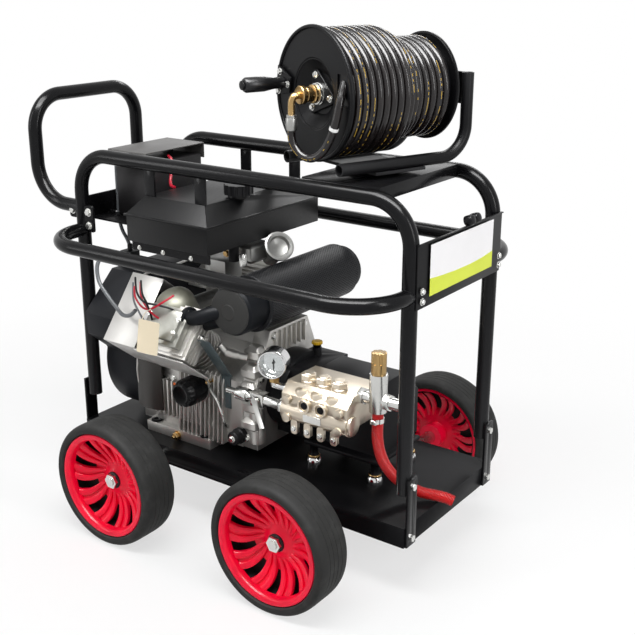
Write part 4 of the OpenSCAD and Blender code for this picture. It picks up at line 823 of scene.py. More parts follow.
def spoke_rings(base, side):
    """The rings of one spoke, from hub to lip."""
    rings = []
    for k in range(SPOKE_STEPS + 1):
        angle, r, z, width = spoke_line(k / SPOKE_STEPS, base, side)
        out, beside = Vector((cos(angle), sin(angle), 0)), Vector((-sin(angle), cos(angle), 0))
        rings.append([out * r + beside * width * u + Vector((0, 0, z + SPOKE_DEEP * v))
                      for u, v in SPOKE_BAR])
    return rings


def web_rings(base):
    """The floor between the two spokes of a pair."""
    rings = []
    for k in range(SPOKE_STEPS + 1):
        ends = [spoke_line(k / SPOKE_STEPS, base, side) for side in (-1, 1)]
        top = [Vector((cos(a) * r, sin(a) * r, z + WEB_TOP)) for a, r, z, width in ends]
        under = [Vector((cos(a) * r, sin(a) * r, z + WEB_UNDER)) for a, r, z, width in reversed(ends)]
        rings.append(top + under)
    return rings


def fit_wheels(sizes):
    """The four rims with their spokes, and the tyres."""
    for where in WHEELS:
        joint = JOINTS["spin_" + where]
        centre = Vector(joint["pos_m"])
        place = facing(centre, (0, -1 if centre.y < 0 else 1, 0))
        s = Shape()
        s.lathe(RIM_RING, sides=96, closed=True)
        # The liner and back disc take the near-black paint: painted shade behind the spokes
        s.lathe(RIM_SHADE_LINER, sides=96, closed=True, paint=1)
        s.lathe(RIM_SHADE_DISC, sides=96, closed=True, paint=1)
        s.lathe(RIM_HUB, sides=64, closed=True)
        for i in range(sizes.spokes):
            base = 2 * pi * i / sizes.spokes
            for side in (-1, 1):
                rings = spoke_rings(base, side)
                s.skin(rings)
                s.skin([[Vector((p.x, p.y, BACK_LEVEL - BACK_SHARE * p.z)) for p in ring]
                        for ring in rings])
            s.skin(web_rings(base))
        s.lathe(HUB_SEAL, sides=40, closed=True, paint=2)
        s.points = [place @ p for p in s.points]
        piece("rim_dressed_" + where, s, "wheel_" + where, "rim_red", "rim_red", "rim_painted_shade",
              "cap_black", hides=("rim_" + where,))
        profile = list(TYRE_SIDE)
        for z in TREAD_GROOVES:
            profile += [(TREAD_R, z + GROOVE_HALF), (TREAD_R - GROOVE_DEEP, z + GROOVE_HALF * 0.6),
                        (TREAD_R - GROOVE_DEEP, z - GROOVE_HALF * 0.6), (TREAD_R, z - GROOVE_HALF)]
        profile += [(r, -z) for r, z in reversed(TYRE_SIDE)]
        s = Shape()
        s.lathe(profile, place, 120, closed=True)
        piece("tyre_dressed_" + where, s, "wheel_" + where, "tyre_rubber", "tyre_rubber",
              hides=("tyre_" + where,))


# Hose reel
REEL_AT = Vector(JOINTS["reel_spin"]["pos_m"])
REEL_AXIS = Vector(JOINTS["reel_spin"]["axis"])
REEL = Matrix.Translation(REEL_AT) @ Matrix.Rotation(-REEL_AXIS.angle(Vector((0, 1, 0))), 4, "Z")
DRUM_HALF, DRUM_CORE, FLANGE_DISH, FLANGE_SHEET = 0.138, 0.072, 0.020, 0.003
NEAR_HUB = REEL @ at(0, -DRUM_HALF + FLANGE_DISH, 0) @ Matrix.Rotation(pi / 2, 4, "X")
LOOP_STEPS, LOOP_GAP, LAYER_FADE = 48, 0.0012, 3.0
FILL_EDGE, FILL_SHARE = 0.0035, 0.6
# Points of the tail and the elbow: across, out from the near flange, up
TAIL_STEPS = (
    (-0.004, 0.049, -0.066), (-0.004, 0.049, -0.080), (0.002, 0.047, -0.096), (0.018, 0.042, -0.111),
    (0.040, 0.035, -0.116), (0.061, 0.028, -0.107), (0.078, 0.022, -0.087), (0.091, 0.018, -0.060),
    (0.099, 0.015, -0.034), (0.102, 0.011, -0.008), (0.098, 0.002, 0.013), (0.094, -0.006, 0.030),
)
ELBOW_STEPS = (
    (0, 0.030, 0), (0, 0.038, 0), (-0.0005, 0.0445, -0.0015), (-0.0015, 0.0480, -0.0060),
    (-0.003, 0.0492, -0.013), (-0.004, 0.0490, -0.024), (-0.004, 0.0490, -0.036),
)
TAIL_COUNT, ELBOW_COUNT, ELBOW_R = 110, 40, 0.0070
SWIVEL_STEEL = (
    (0.0225, 0.000), (0.0225, 0.0042), (0.0200, 0.0048), (0.0200, 0.0062), (0.0215, 0.0068),
    (0.0215, 0.0108), (0.0195, 0.0116), (0.0195, 0.0130), (0.0205, 0.0136), (0.0205, 0.0168),
    (0.0180, 0.0176),
)
SWIVEL_BRASS = (
    (0.0176, 0.016), (0.0182, 0.018), (0.0182, 0.0245), (0.0170, 0.0255), (0.0150, 0.0262),
    (0.0150, 0.0400), (0.0142, 0.0410), (0.0142, 0.0425), (0.0168, 0.0432), (0.0178, 0.0445),
    (0.0178, 0.0525), (0.0166, 0.0540), (0.0120, 0.0545), (0.0090, 0.0545),
)
FERRULE = (
    (0.0068, 0.000), (0.0100, 0.0010), (0.0100, 0.0040), (0.0092, 0.0048), (0.0092, 0.0058),
    (0.0108, 0.0066), (0.0112, 0.0080), (0.0112, 0.0280), (0.0100, 0.0305), (0.0084, 0.0312),
)
NOZZLE = (
    (0.0072, -0.004), (0.0080, 0.000), (0.0080, 0.018), (0.0066, 0.020), (0.0066, 0.024),
    (0.0080, 0.026), (0.0080, 0.038), (0.0050, 0.046),
)


def on_reel(steps):
    """Points of the world from points across, out and up on the reel's near side."""
    return [REEL @ Vector((x, -DRUM_HALF - out, up)) for x, out, up in steps]


def winding_path(sizes):
    """The outer layer of hose, in the reel's own frame, from the crank side."""
    first = -DRUM_HALF + FLANGE_SHEET + sizes.hose_r + LOOP_GAP
    points = []
    for k in range(sizes.hose_loops * LOOP_STEPS + 1):
        u = k / LOOP_STEPS
        drop = min(max((u - sizes.hose_loops / 2) / LAYER_FADE, 0.0), 1.0)
        r = sizes.layer_r - sizes.layer_drop * drop
        angle = 2 * pi * u + pi
        points.append(Vector((r * cos(angle), first + sizes.hose_pitch * u, -r * sin(angle))))
    lead = 2 * sizes.hose_r
    points.insert(0, points[0] + (points[0] - points[1]).normalized() * lead)
    points.append(points[-1] + (points[-1] - points[-2]).normalized() * lead)
    return points


def wind_hose(shape, route, radius, sides=16):
    """Skins the winding with its seam on the outer side, so that the marks face out on every loop."""
    rings = []
    for i, p in enumerate(route):
        run = heading(route, i)
        side = Vector((p.x, 0, p.z))
        side = (side - side.dot(run) * run).normalized()
        rings.append([REEL @ q for q in circle(p, radius, run, side, sides)])
    shape.skin(rings, uv=along(route))


def fit_reel(sizes):
    """The wound hose, its tail, the swivel with its elbow, and the nozzle."""
    route = winding_path(sizes)
    s = Shape()
    wind_hose(s, route, sizes.hose_r)
    high = sizes.layer_r - FILL_SHARE * sizes.hose_r
    low = high - sizes.layer_drop
    middle = -DRUM_HALF + FLANGE_SHEET + sizes.hose_pitch * sizes.hose_loops / 2
    near, far = -DRUM_HALF + FILL_EDGE, DRUM_HALF - FILL_EDGE
    fill = ((DRUM_CORE, near), (high, near), (high, middle),
            (low, middle + LAYER_FADE * sizes.hose_pitch), (low, far), (DRUM_CORE, far))
    s.lathe(fill, REEL @ Matrix.Rotation(-pi / 2, 4, "X"), 64, 1, closed=True)
    piece("hose_winding_skin", s, "reel_drum", "hose_black", "hose_black", "cap_black", sharp=60,
          hides=("hose_winding",))

    s = Shape()
    tail = smooth(on_reel(TAIL_STEPS), TAIL_COUNT)
    s.tube(tail, sizes.hose_r, 16, first=REEL.to_3x3() @ Vector((0, -1, 0)), uv=True)
    piece("hose_tail_skin", s, "reel_drum", "hose_black", "hose_black", sharp=60, hides=("hose_tail",))

    s = Shape()
    s.lathe(SWIVEL_STEEL, NEAR_HUB, 40, 1)
    s.lathe(SWIVEL_BRASS, NEAR_HUB, 40)
    elbow = smooth(on_reel(ELBOW_STEPS), ELBOW_COUNT)
    s.tube(elbow, ELBOW_R, 18, first=REEL.to_3x3() @ Vector((1, 0, 0)))
    s.lathe(FERRULE, facing(elbow[-1], tail[0] - elbow[-1]), 28, 2)
    tip, before = REEL @ route[-1], REEL @ route[-2]
    s.lathe(NOZZLE, facing(tip, tip - before), 24)
    piece("reel_fittings_dressed", s, "reel_drum", "knob_brass", "knob_brass", "zinc", "ferrule_dull",
          hides=("reel_fittings",))


# Small reel fittings
HUB_PLATE_R, HUB_PLATE_THICK, HUB_BOLT_R = 0.048, 0.007, 0.037
HUB_LOBES, HUB_FIRST, HUB_TURNS = 3, -10, (-0.20, -0.10, 0, 0.10, 0.20)
BRACKET_R, BRACKET_ANGLE, BRACKET_FACE = 0.098, radians(172), 0.008
BRACKET_BOLTS = ((0.014, 0.019), (-0.016, 0.000), (0.014, -0.019))
REEL_FLATS = 0.0095
CLIP_SHARE = 0.66
CLIP_BAND = ((0.0081, -0.003), (0.0091, -0.003), (0.0091, 0.003), (0.0081, 0.003))


def fit_reel_details():
    """The hub plate and its bolts, the bracket's bolts and the clip on the tail."""
    s = Shape()
    corners = []
    for k in range(HUB_LOBES):
        angle = radians(HUB_FIRST + 360 / HUB_LOBES * k)
        for turn in HUB_TURNS:
            r = HUB_PLATE_R * (1 - 1.6 * turn ** 2)
            corners.append((r * cos(angle + turn), r * sin(angle + turn)))
        seat = at(HUB_BOLT_R * cos(angle), HUB_BOLT_R * sin(angle), HUB_PLATE_THICK)
        s.bolt(NEAR_HUB @ seat, REEL_FLATS)
    s.plate(corners, HUB_PLATE_THICK, NEAR_HUB, paint=1)
    centre = REEL @ Matrix.Rotation(pi / 2, 4, "X")
    plate = centre @ Matrix.Rotation(BRACKET_ANGLE, 4, "Z") @ at(BRACKET_R, 0, DRUM_HALF + BRACKET_FACE)
    for x, y in BRACKET_BOLTS:
        s.bolt(plate @ at(x, y, 0), REEL_FLATS)
    piece("reel_bolts", s, "reel_drum", "zinc", "zinc", "reel_black")

    s = Shape()
    tail = smooth(on_reel(TAIL_STEPS), TAIL_COUNT)
    i = int(CLIP_SHARE * TAIL_COUNT)
    s.lathe(CLIP_BAND, facing(tail[i], tail[i + 1] - tail[i]), 24, closed=True)
    piece("tail_clip", s, "reel_drum", "zinc", "dial_white")


# Frame fittings
PANEL_FACE = ((-0.131, -0.044), (0.126, -0.044), (0.126, 0.057), (-0.131, 0.057))
PANEL_BAND = (
    (-0.131, -0.044), (0.126, -0.044), (0.126, -0.010), (0.080, -0.0145), (0.030, -0.0165),
    (-0.030, -0.0155), (-0.085, -0.0125), (-0.131, -0.0085),
)
FACE_THICK, BAND_THICK, FILM_EDGE = 0.0006, 0.0009, 0.0002
PANEL_BOLTS = ((-0.158, -0.048), (-0.158, -0.028), (0.158, -0.048), (0.158, -0.028))
PANEL_FLATS = 0.010
PANEL_KNOBS = (0.026, 0.050)
KNOB_IN, KNOB_UP, KNOB_WAY = 0.012, 0.006, (0.9, 0, 0.35)
KNOB_SIDE = (
    (0.0060, 0), (0.0102, 0.001), (0.0108, 0.004), (0.0108, 0.014), (0.0092, 0.019), (0.005, 0.021),
)
LUGS = (
    # distance from the rear leg, height, width, length, places of the bolts along it
    (0.028, 0.690, 0.030, 0.062, (-0.016, 0.016)),
    (-0.024, 0.706, 0.024, 0.036, (0.0,)),
)
LUG_THICK, LUG_CORNER, LUG_OUT = 0.006, 0.006, 0.003
RAIL_Y, RAIL_DROP, RAIL_LONG, RAIL_TALL, RAIL_CORNER, RAIL_THICK = -0.186, 0.010, 0.230, 0.024, 0.003, 0.004
RAIL_BOLTS, RAIL_FLATS, RAIL_BOLT_DROP = (-0.092, -0.020, 0.062), 0.0075, 0.005
LID_SCREW_R, LID_SCREW_DROP, LID_SCREW_REAR, LID_SCREW_FRONT = 0.0045, 0.016, 0.022, 0.026
TANK_LEAD_R = 0.0036
TANK_LEAD = (
    (-0.236, -0.020, 0.828), (-0.222, -0.024, 0.820), (-0.214, -0.032, 0.800), (-0.209, -0.044, 0.778),
    (-0.196, -0.056, 0.768), (-0.178, -0.064, 0.7675),
)


def dress_frame(sizes):
    """The panel's face and knobs, the lugs, the tank's rail and lead, and the bolts."""
    low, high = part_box("front_panel")
    face = facing((high.x, 0, (low.z + high.z) / 2), TO_FRONT)
    s = Shape()
    s.plate(PANEL_FACE, FACE_THICK, face, FILM_EDGE)
    s.plate(PANEL_BAND, BAND_THICK, face, FILM_EDGE, 1)
    piece("panel_face", s, "chassis", "sign_black", "panel_white", "panel_lime")

    s = Shape()
    for x, y in PANEL_BOLTS:
        s.bolt(face @ at(x, y, 0), PANEL_FLATS)
    arch_low, arch_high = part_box("side_arch_near")
    rear = arch_low.x + sizes.tube_r
    side = (arch_low.y + arch_high.y) / 2
    for sign in (1, -1):
        for reach, z, width, tall, rises in LUGS:
            lug = facing((rear + reach, sign * (side - LUG_OUT), z), (0, -sign, 0))
            s.plate(rounded(width, tall, LUG_CORNER), LUG_THICK, lug, paint=1)
            for rise in rises:
                s.bolt(lug @ at(0, rise, LUG_THICK), sizes.bolt_flats)
    tank_low, tank_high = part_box("fuel_tank")
    rail = facing(((tank_low.x + tank_high.x) / 2, RAIL_Y, tank_low.z - RAIL_DROP), TO_NEAR)
    s.plate(rounded(RAIL_LONG, RAIL_TALL, RAIL_CORNER), RAIL_THICK, rail, paint=1)
    for x in RAIL_BOLTS:
        s.bolt(rail @ at(x, -RAIL_BOLT_DROP, RAIL_THICK), RAIL_FLATS)
    lid_low, lid_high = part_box("battery_lid")
    for x in (lid_low.x + LID_SCREW_REAR, lid_high.x - LID_SCREW_FRONT):
        s.screw(facing((x, lid_low.y, lid_high.z - LID_SCREW_DROP), TO_NEAR), LID_SCREW_R)
    piece("frame_bolts", s, "chassis", "zinc", "zinc", "frame_black")

    s = Shape()
    for y in PANEL_KNOBS:
        s.lathe(KNOB_SIDE, facing((high.x - KNOB_IN, y, high.z + KNOB_UP), KNOB_WAY), 24)
    piece("panel_knobs", s, "chassis", "cap_black", "cap_black")

    s = Shape()
    s.tube(smooth(TANK_LEAD, 40), TANK_LEAD_R, 10, first=(1, 0, 0))
    piece("tank_lead", s, "chassis", "cable_red", "cable_red")


# Engine fittings
CRANK_Z = JOINTS["crank_drive"]["pos_m"][2]
BANK = radians(52)
NEAR_BANK = at(-0.072, 0, CRANK_Z) @ Matrix.Rotation(BANK, 4, "X")
FAR_BANK = at(-0.112, 0, CRANK_Z) @ Matrix.Rotation(-BANK, 4, "X")
BEAD_X, BEAD_R = -0.2502, 0.0032
BLOWER_BEAD = (
    (-0.088, 0.214), (-0.118, 0.246), (-0.136, 0.285), (-0.142, 0.325), (-0.141, 0.366), (-0.170, 0.391),
    (-0.196, 0.415), (-0.201, 0.440), (-0.200, 0.468), (-0.154, 0.511), (-0.107, 0.555), (0.0, 0.556),
)
FILTER_FLUTES = 15
FILTER_RINGS = (
    # radius, distance, depth of the grip flutes
    (0.0315, 0.000, 0), (0.0315, 0.005, 0), (0.0330, 0.0065, 0), (0.0330, 0.042, 0), (0.0323, 0.046, 0),
    (0.0316, 0.048, 0.0016), (0.0298, 0.0555, 0.0022), (0.0260, 0.0600, 0.0016), (0.0218, 0.0618, 0),
    (0.0180, 0.0604, 0), (0.0, 0.0596, 0),
)
FILTER_DOT, FILTER_DOT_AT = ((0.0042, 0), (0.0042, 0.0008), (0.003, 0.0012)), (-0.0212, 0.0205, 0.0548)
HEAD_BOLTS = ((-0.043, -0.016), (-0.043, 0.016), (0.043, -0.016), (0.043, 0.016))
HEAD_HIGH, HEAD_FLATS = 0.299, 0.008
PLUG_AT = (0.066, 0, 0.240)
PLUG_STUB = ((0.009, 0), (0.009, 0.012), (0.0065, 0.014), (0.0065, 0.020))
FOOT_CAP = ((0.0135, 0), (0.0135, 0.003), (0.0120, 0.004), (0.0075, 0.004), (0.0070, 0.001), (0, 0.001))
FOOT_CAP_X, FOOT_CAP_Y, FOOT_CAP_Z = (-0.205, -0.048), -0.131, 0.203
COVER_FACE, COVER_RIBS, COVER_RIB, COVER_RIB_EDGE = 0.100, 7, (0.007, 0.004, 0.050), 0.0012
COVER_RIB_X, COVER_RIB_FROM, COVER_RIB_PITCH, COVER_RIB_Z = 0.1032, -0.054, 0.018, 0.447
COVER_BOLTS = ((-0.058, 0.462), (0.058, 0.462), (-0.104, 0.372), (-0.106, 0.262))
CASE_BOLTS = ((0.070, 0.226), (0.070, 0.338), (-0.030, 0.238), (-0.150, 0.238), (-0.150, 0.322))
CASE_BOSS = ((0.011, 0), (0.0105, 0.004), (0.009, 0.005))
CASE_FLATS, CASE_SIDE, BOSS_TOP = 0.011, -0.119, -0.124
DRAIN_AT, DRAIN_FLATS, DRAIN_HEAD = (-0.127, -0.143, 0.189), 0.015, 0.7
DRAIN_TIP = ((0.005, 0.010), (0.005, 0.016), (0.0038, 0.018))
SENDER_AT, SENDER_FLATS, SENDER_HEAD = (-0.034, -0.122, 0.345), 0.014, 0.8
SENDER_TIP = ((0.005, 0.012), (0.005, 0.020), (0.003, 0.022))
STUB_AT, STUB_BOLT_AT, STUB_FLATS = (0.052, -0.120, 0.231), (0.052, -0.153, 0.231), 0.012
STUB_SIDE = ((0.019, -0.004), (0.019, 0.012), (0.0165, 0.015), (0.0165, 0.030), (0.014, 0.033))
OIL_PIPE_R = 0.0038
OIL_PIPE = (
    (-0.030, -0.128, 0.340), (-0.020, -0.140, 0.330), (0.004, -0.146, 0.310), (0.016, -0.146, 0.284),
    (0.018, -0.138, 0.256), (0.016, -0.122, 0.240),
)
WIRES = (
    # paint, points from the shroud to the head
    ("cable_red", (
        (-0.190, -0.196, 0.560), (-0.160, -0.224, 0.548), (-0.128, -0.236, 0.534),
        (-0.100, -0.238, 0.536), (-0.075, -0.226, 0.552), (-0.060, -0.205, 0.566))),
    ("cable_red", (
        (-0.176, -0.190, 0.572), (-0.140, -0.226, 0.556), (-0.112, -0.240, 0.540),
        (-0.092, -0.236, 0.522), (-0.082, -0.226, 0.512))),
    ("wire_grey", (
        (-0.200, -0.190, 0.566), (-0.168, -0.222, 0.540), (-0.136, -0.238, 0.520),
        (-0.118, -0.240, 0.502), (-0.112, -0.232, 0.482))),
    ("cap_black", (
        (-0.196, -0.186, 0.578), (-0.152, -0.226, 0.560), (-0.118, -0.238, 0.548),
        (-0.086, -0.232, 0.546), (-0.058, -0.214, 0.536), (-0.050, -0.208, 0.520))),
    ("cap_black", (
        (-0.150, -0.214, 0.586), (-0.128, -0.234, 0.566), (-0.110, -0.240, 0.548),
        (-0.100, -0.238, 0.520), (-0.104, -0.230, 0.500))),
)
CONDUIT_R = 0.0046
GREY_LOOP = (
    (-0.300, -0.190, 0.612), (-0.300, -0.204, 0.590), (-0.288, -0.212, 0.560), (-0.262, -0.216, 0.535),
    (-0.230, -0.220, 0.512), (-0.200, -0.228, 0.500), (-0.170, -0.234, 0.506), (-0.150, -0.236, 0.522),
)
TAG_SIZE, TAG_CORNER, TAG_THICK, TAG_EDGE = (0.050, 0.076), 0.004, 0.0010, 0.0003
TAG_AT, TAG_WAY, TAG_TURN = (-0.070, -0.280, 0.488), (0.30, -0.95, 0.05), radians(-6)
STRING_R = 0.0009
TAG_STRING = ((-0.088, -0.279, 0.523), (-0.094, -0.262, 0.534), (-0.098, -0.240, 0.536))
DOME_AT, DOME_LEAN = (-0.030, 0.056, 0.236), radians(-24)
BREATHER_DOME = (
    (0.046, -0.030), (0.046, 0.012), (0.044, 0.022), (0.038, 0.032), (0.028, 0.039), (0.014, 0.043),
    (0, 0.044),
)
GUARD_EDGE = 0.0015
MUFFLER_END = ((0.050, -0.006), (0.050, 0.000), (0.046, 0.002), (0.018, 0.003), (0.016, 0.0045), (0, 0.0045))


def fluted(shape, rings, place, flutes, paint=0, sides=70):
    """A turned can whose rings may carry grip flutes."""
    made = []
    for r, z, deep in rings:
        ring = []
        for k in range(sides):
            angle = 2 * pi * k / sides
            reach = r - deep * (0.5 - 0.5 * cos(flutes * angle))
            ring.append(place @ Vector((reach * cos(angle), reach * sin(angle), z)))
        made.append(ring)
    shape.skin(made, paint)


def dress_filter():
    """The oil filter, with its grip flutes and orange dot."""
    low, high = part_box("oil_filter")
    s = Shape()
    centre = (low + high) / 2
    place = facing((centre.x, high.y, centre.z), TO_NEAR)
    fluted(s, FILTER_RINGS, place, FILTER_FLUTES)
    s.lathe(FILTER_DOT, place @ at(*FILTER_DOT_AT), 20, 1)
    piece("oil_filter_can", s, "chassis", "filter_black", "filter_black", "orange_dot",
          hides=("oil_filter",))


def bolt_engine():
    """Bolts of the heads, the front cover and the case, with the cover's ribs."""
    s = Shape()
    for bank in (NEAR_BANK, FAR_BANK):
        for x, y in HEAD_BOLTS:
            s.bolt(bank @ at(x, y, HEAD_HIGH), HEAD_FLATS)
        s.lathe(PLUG_STUB, bank @ at(*PLUG_AT) @ Matrix.Rotation(pi / 2, 4, "Y"), 16)
    for x in FOOT_CAP_X:
        s.lathe(FOOT_CAP, at(x, FOOT_CAP_Y, FOOT_CAP_Z), 24, 1)
    for k in range(COVER_RIBS):
        y = COVER_RIB_FROM + COVER_RIB_PITCH * k
        s.block(COVER_RIB, at(COVER_RIB_X, y, COVER_RIB_Z), COVER_RIB_EDGE, 2)
    for y, z in COVER_BOLTS:
        s.bolt(facing((COVER_FACE, y, z), TO_FRONT), CASE_FLATS)
    for x, z in CASE_BOLTS:
        s.lathe(CASE_BOSS, facing((x, CASE_SIDE, z), TO_NEAR), 20, 2)
        s.bolt(facing((x, BOSS_TOP, z), TO_NEAR), CASE_FLATS)
    piece("engine_bolts", s, "chassis", "zinc", "zinc", "cap_black", "cast_aluminium")


def pipe_engine():
    """The drain, the oil sender, the stub by the filter and the oil pipe."""
    s = Shape()
    drain = facing(DRAIN_AT, TO_NEAR)
    s.bolt(drain, DRAIN_FLATS, head=DRAIN_HEAD)
    s.lathe(DRAIN_TIP, drain, 16)
    sender = facing(SENDER_AT, TO_NEAR)
    s.bolt(sender, SENDER_FLATS, head=SENDER_HEAD)
    s.lathe(SENDER_TIP, sender, 16)
    piece("engine_brass", s, "chassis", "knob_brass", "knob_brass")

    s = Shape()
    s.lathe(STUB_SIDE, facing(STUB_AT, TO_NEAR), 28)
    s.bolt(facing(STUB_BOLT_AT, TO_NEAR), STUB_FLATS, 1)
    s.tube(smooth(OIL_PIPE, 40), OIL_PIPE_R, 10, 1)
    piece("engine_stubs", s, "chassis", "starter_black", "starter_black", "zinc")


def wire_engine(wire_r):
    """The thin wires, the grey conduit and the tag on its string."""
    for k, (paint, points) in enumerate(WIRES):
        s = Shape()
        s.tube(smooth(points, 40), wire_r, 8)
        piece("engine_wire_%d" % (k + 1), s, "chassis", "cable_red", paint)
    s = Shape()
    s.tube(smooth(GREY_LOOP, 60), CONDUIT_R, 10)
    piece("engine_conduit", s, "chassis", "starter_black", "wire_grey")

    s = Shape()
    tag = facing(TAG_AT, TAG_WAY, TAG_TURN)
    s.plate(rounded(*TAG_SIZE, TAG_CORNER), TAG_THICK, tag, TAG_EDGE)
    s.tube(smooth(TAG_STRING, 12), STRING_R, 6)
    piece("engine_tag", s, "chassis", "shroud_silver", "tag_cream")


def dress_muffler():
    """The pierced guard round the muffler, and the muffler's near end."""
    low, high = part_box("muffler_guard")
    s = Shape()
    r = (high.z - low.z) / 2
    mid = (low + high) / 2
    long = high.y - low.y
    barrel = facing((mid.x, low.y, mid.z), (0, 1, 0))
    steps = (0, GUARD_EDGE, long - GUARD_EDGE, long)
    s.lathe(tuple(zip((r - GUARD_EDGE, r, r, r - GUARD_EDGE), steps)), barrel, 72, uv=steps)
    piece("muffler_guard_skin", s, "chassis", "muffler_black", "pierced_black", hides=("muffler_guard",))

    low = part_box("muffler")[0]
    s = Shape()
    s.lathe(MUFFLER_END, facing((mid.x, low.y, mid.z), TO_NEAR), 48)
    piece("muffler_end", s, "chassis", "muffler_black", "muffler_grey")


def dress_engine(sizes):
    """Every fitting of the engine, with the fan case's bead and the breather dome."""
    s = Shape()
    mirror = [(-y, z) for y, z in BLOWER_BEAD[-2::-1]]
    bead = smooth([(BEAD_X, y, z) for y, z in BLOWER_BEAD + tuple(mirror)], 160)
    s.tube(bead, BEAD_R, 10, first=(1, 0, 0))
    piece("blower_bead", s, "chassis", "shroud_silver", "shroud_silver")
    dress_filter()
    bolt_engine()
    pipe_engine()
    wire_engine(sizes.wire_r)
    s = Shape()
    dome = NEAR_BANK @ at(*DOME_AT) @ Matrix.Rotation(DOME_LEAN, 4, "X")
    s.lathe(BREATHER_DOME, dome, 36)
    piece("breather_dome", s, "chassis", "carb_grey", "duct_olive")
    dress_muffler()


# Pump fittings
CAP_X = (0.251, 0.291, 0.331)
HEAD_FACE, HEAD_TOP = -0.168, 0.412
CAP_COLLAR = ((0.0168, -0.001), (0.0168, 0.0052), (0.0156, 0.0064), (0.0150, 0.0066), (0.0150, 0.0088))
CAP_TOP = ((0.0128, 0.0195), (0.0128, 0.0218), (0.0112, 0.0230), (0, 0.0230))
CAP_Y, CAP_SEAT, CAP_FLATS, CAP_HEAD = -0.130, 0.008, 0.030, 0.40
BARREL_Y, BARREL_Z = -0.1505, 0.352
HEAD_BARREL = ((0.0172, 0), (0.0172, 0.046), (0.0150, 0.051), (0.0110, 0.053))
PORT_X, PORT_OUT, PORT_Z = (0.270, 0.312), 0.006, 0.376
PORT_RING = (
    (0.0152, -0.001), (0.0152, 0.0030), (0.0143, 0.0040), (0.0122, 0.0040), (0.0114, 0.0030),
    (0.0114, -0.001),
)
PORT_PLUG = ((0.0080, -0.001), (0.0080, 0.0016), (0.0060, 0.0022), (0, 0.0022))
EAR_COUNT, EAR_FROM, EAR_PITCH, EAR_IN, EAR_Z = 4, 0.240, 0.034, 0.008, 0.319
EAR_WIDE, EAR_TALL, EAR_CORNER, EAR_THICK = 0.017, 0.034, 0.007, 0.010
EAR_FLATS, EAR_BOLT_DROP = 0.009, 0.004
HEAD_PLATE_AT, HEAD_PLATE_THICK, HEAD_PLATE_EDGE = (0.291, -0.1752, 0.350), 0.0012, 0.0003
HEAD_PLATE_WIDE, HEAD_PLATE_TALL, HEAD_PLATE_CORNER = 0.046, 0.016, 0.003
DIAL = ((0.0272, 0), (0.0272, 0.0005), (0, 0.0005))
DIAL_MARKS, DIAL_FROM, DIAL_STEP, MARKS_R = 31, 225, 9, 0.0235
LONG_MARK, SHORT_MARK, LONG_EVERY = (0.0046, 0.0009), (0.0026, 0.0005), 5
DIAL_GAP, MARK_LIFT, MARK_THICK, MARK_CORNER, MARK_EDGE = 0.0010, 0.0004, 0.0003, 0.0002, 0.0001
BEZEL = (
    (0.0318, -0.008), (0.0318, -0.0005), (0.0310, 0.0009), (0.0296, 0.0014), (0.0280, 0.0010),
    (0.0272, -0.0004), (0.0272, -0.0025), (0.0300, -0.0080),
)
UNION_X, UNION_Z, UNION_FLATS, UNION_HEAD = 0.374, 0.408, 0.027, 0.5
GAUGE_NUT_Z, GAUGE_NUT_FLATS, GAUGE_NUT_HEAD = 0.396, 0.020, 0.7
CLAMP_BLOCK, CLAMP_BLOCK_AT, CLAMP_EDGE = (0.012, 0.009, 0.010), (0, -0.0165, 0.005), 0.0012
CLAMP_SCREW_AT, CLAMP_FLATS = (0.006, -0.0175, 0.005), 0.007
CLAMP_DROP, CLAMP_BAND = 0.024, ((0.0122, 0), (0.0136, 0), (0.0136, 0.010), (0.0122, 0.010))
MOUNTS, MOUNT_Z = ((0.208, -0.052), (0.372, -0.052), (0.208, 0.092), (0.372, 0.092)), 0.178
FOOT_DOME = ((0.0180, 0), (0.0180, 0.006), (0.0172, 0.010), (0.0150, 0.0145), (0.0135, 0.0165))
FOOT_RING = ((0.0140, 0.0160), (0.0145, 0.0170), (0.0145, 0.0205), (0.0135, 0.0220), (0.0120, 0.0222))
FOOT_NECK = ((0.0118, 0.0215), (0.0100, 0.0260), (0.0098, 0.0420), (0.0112, 0.0460), (0.0112, 0.0480))
DIPSTICK_R = 0.0055
DIPSTICK_NECK = ((DIPSTICK_R, 0.0005), (0.0086, 0.0006), (0.0096, 0.004), (0.0105, 0.0085))
DIPSTICK_FLUTES = 16
DIPSTICK_TOP = (
    # radius, height, depth of the grip flutes
    (0.0118, 0.0082, 0), (0.0130, 0.0090, 0.0008), (0.0130, 0.0135, 0.0008), (0.0118, 0.0148, 0),
    (0, 0.0148, 0),
)


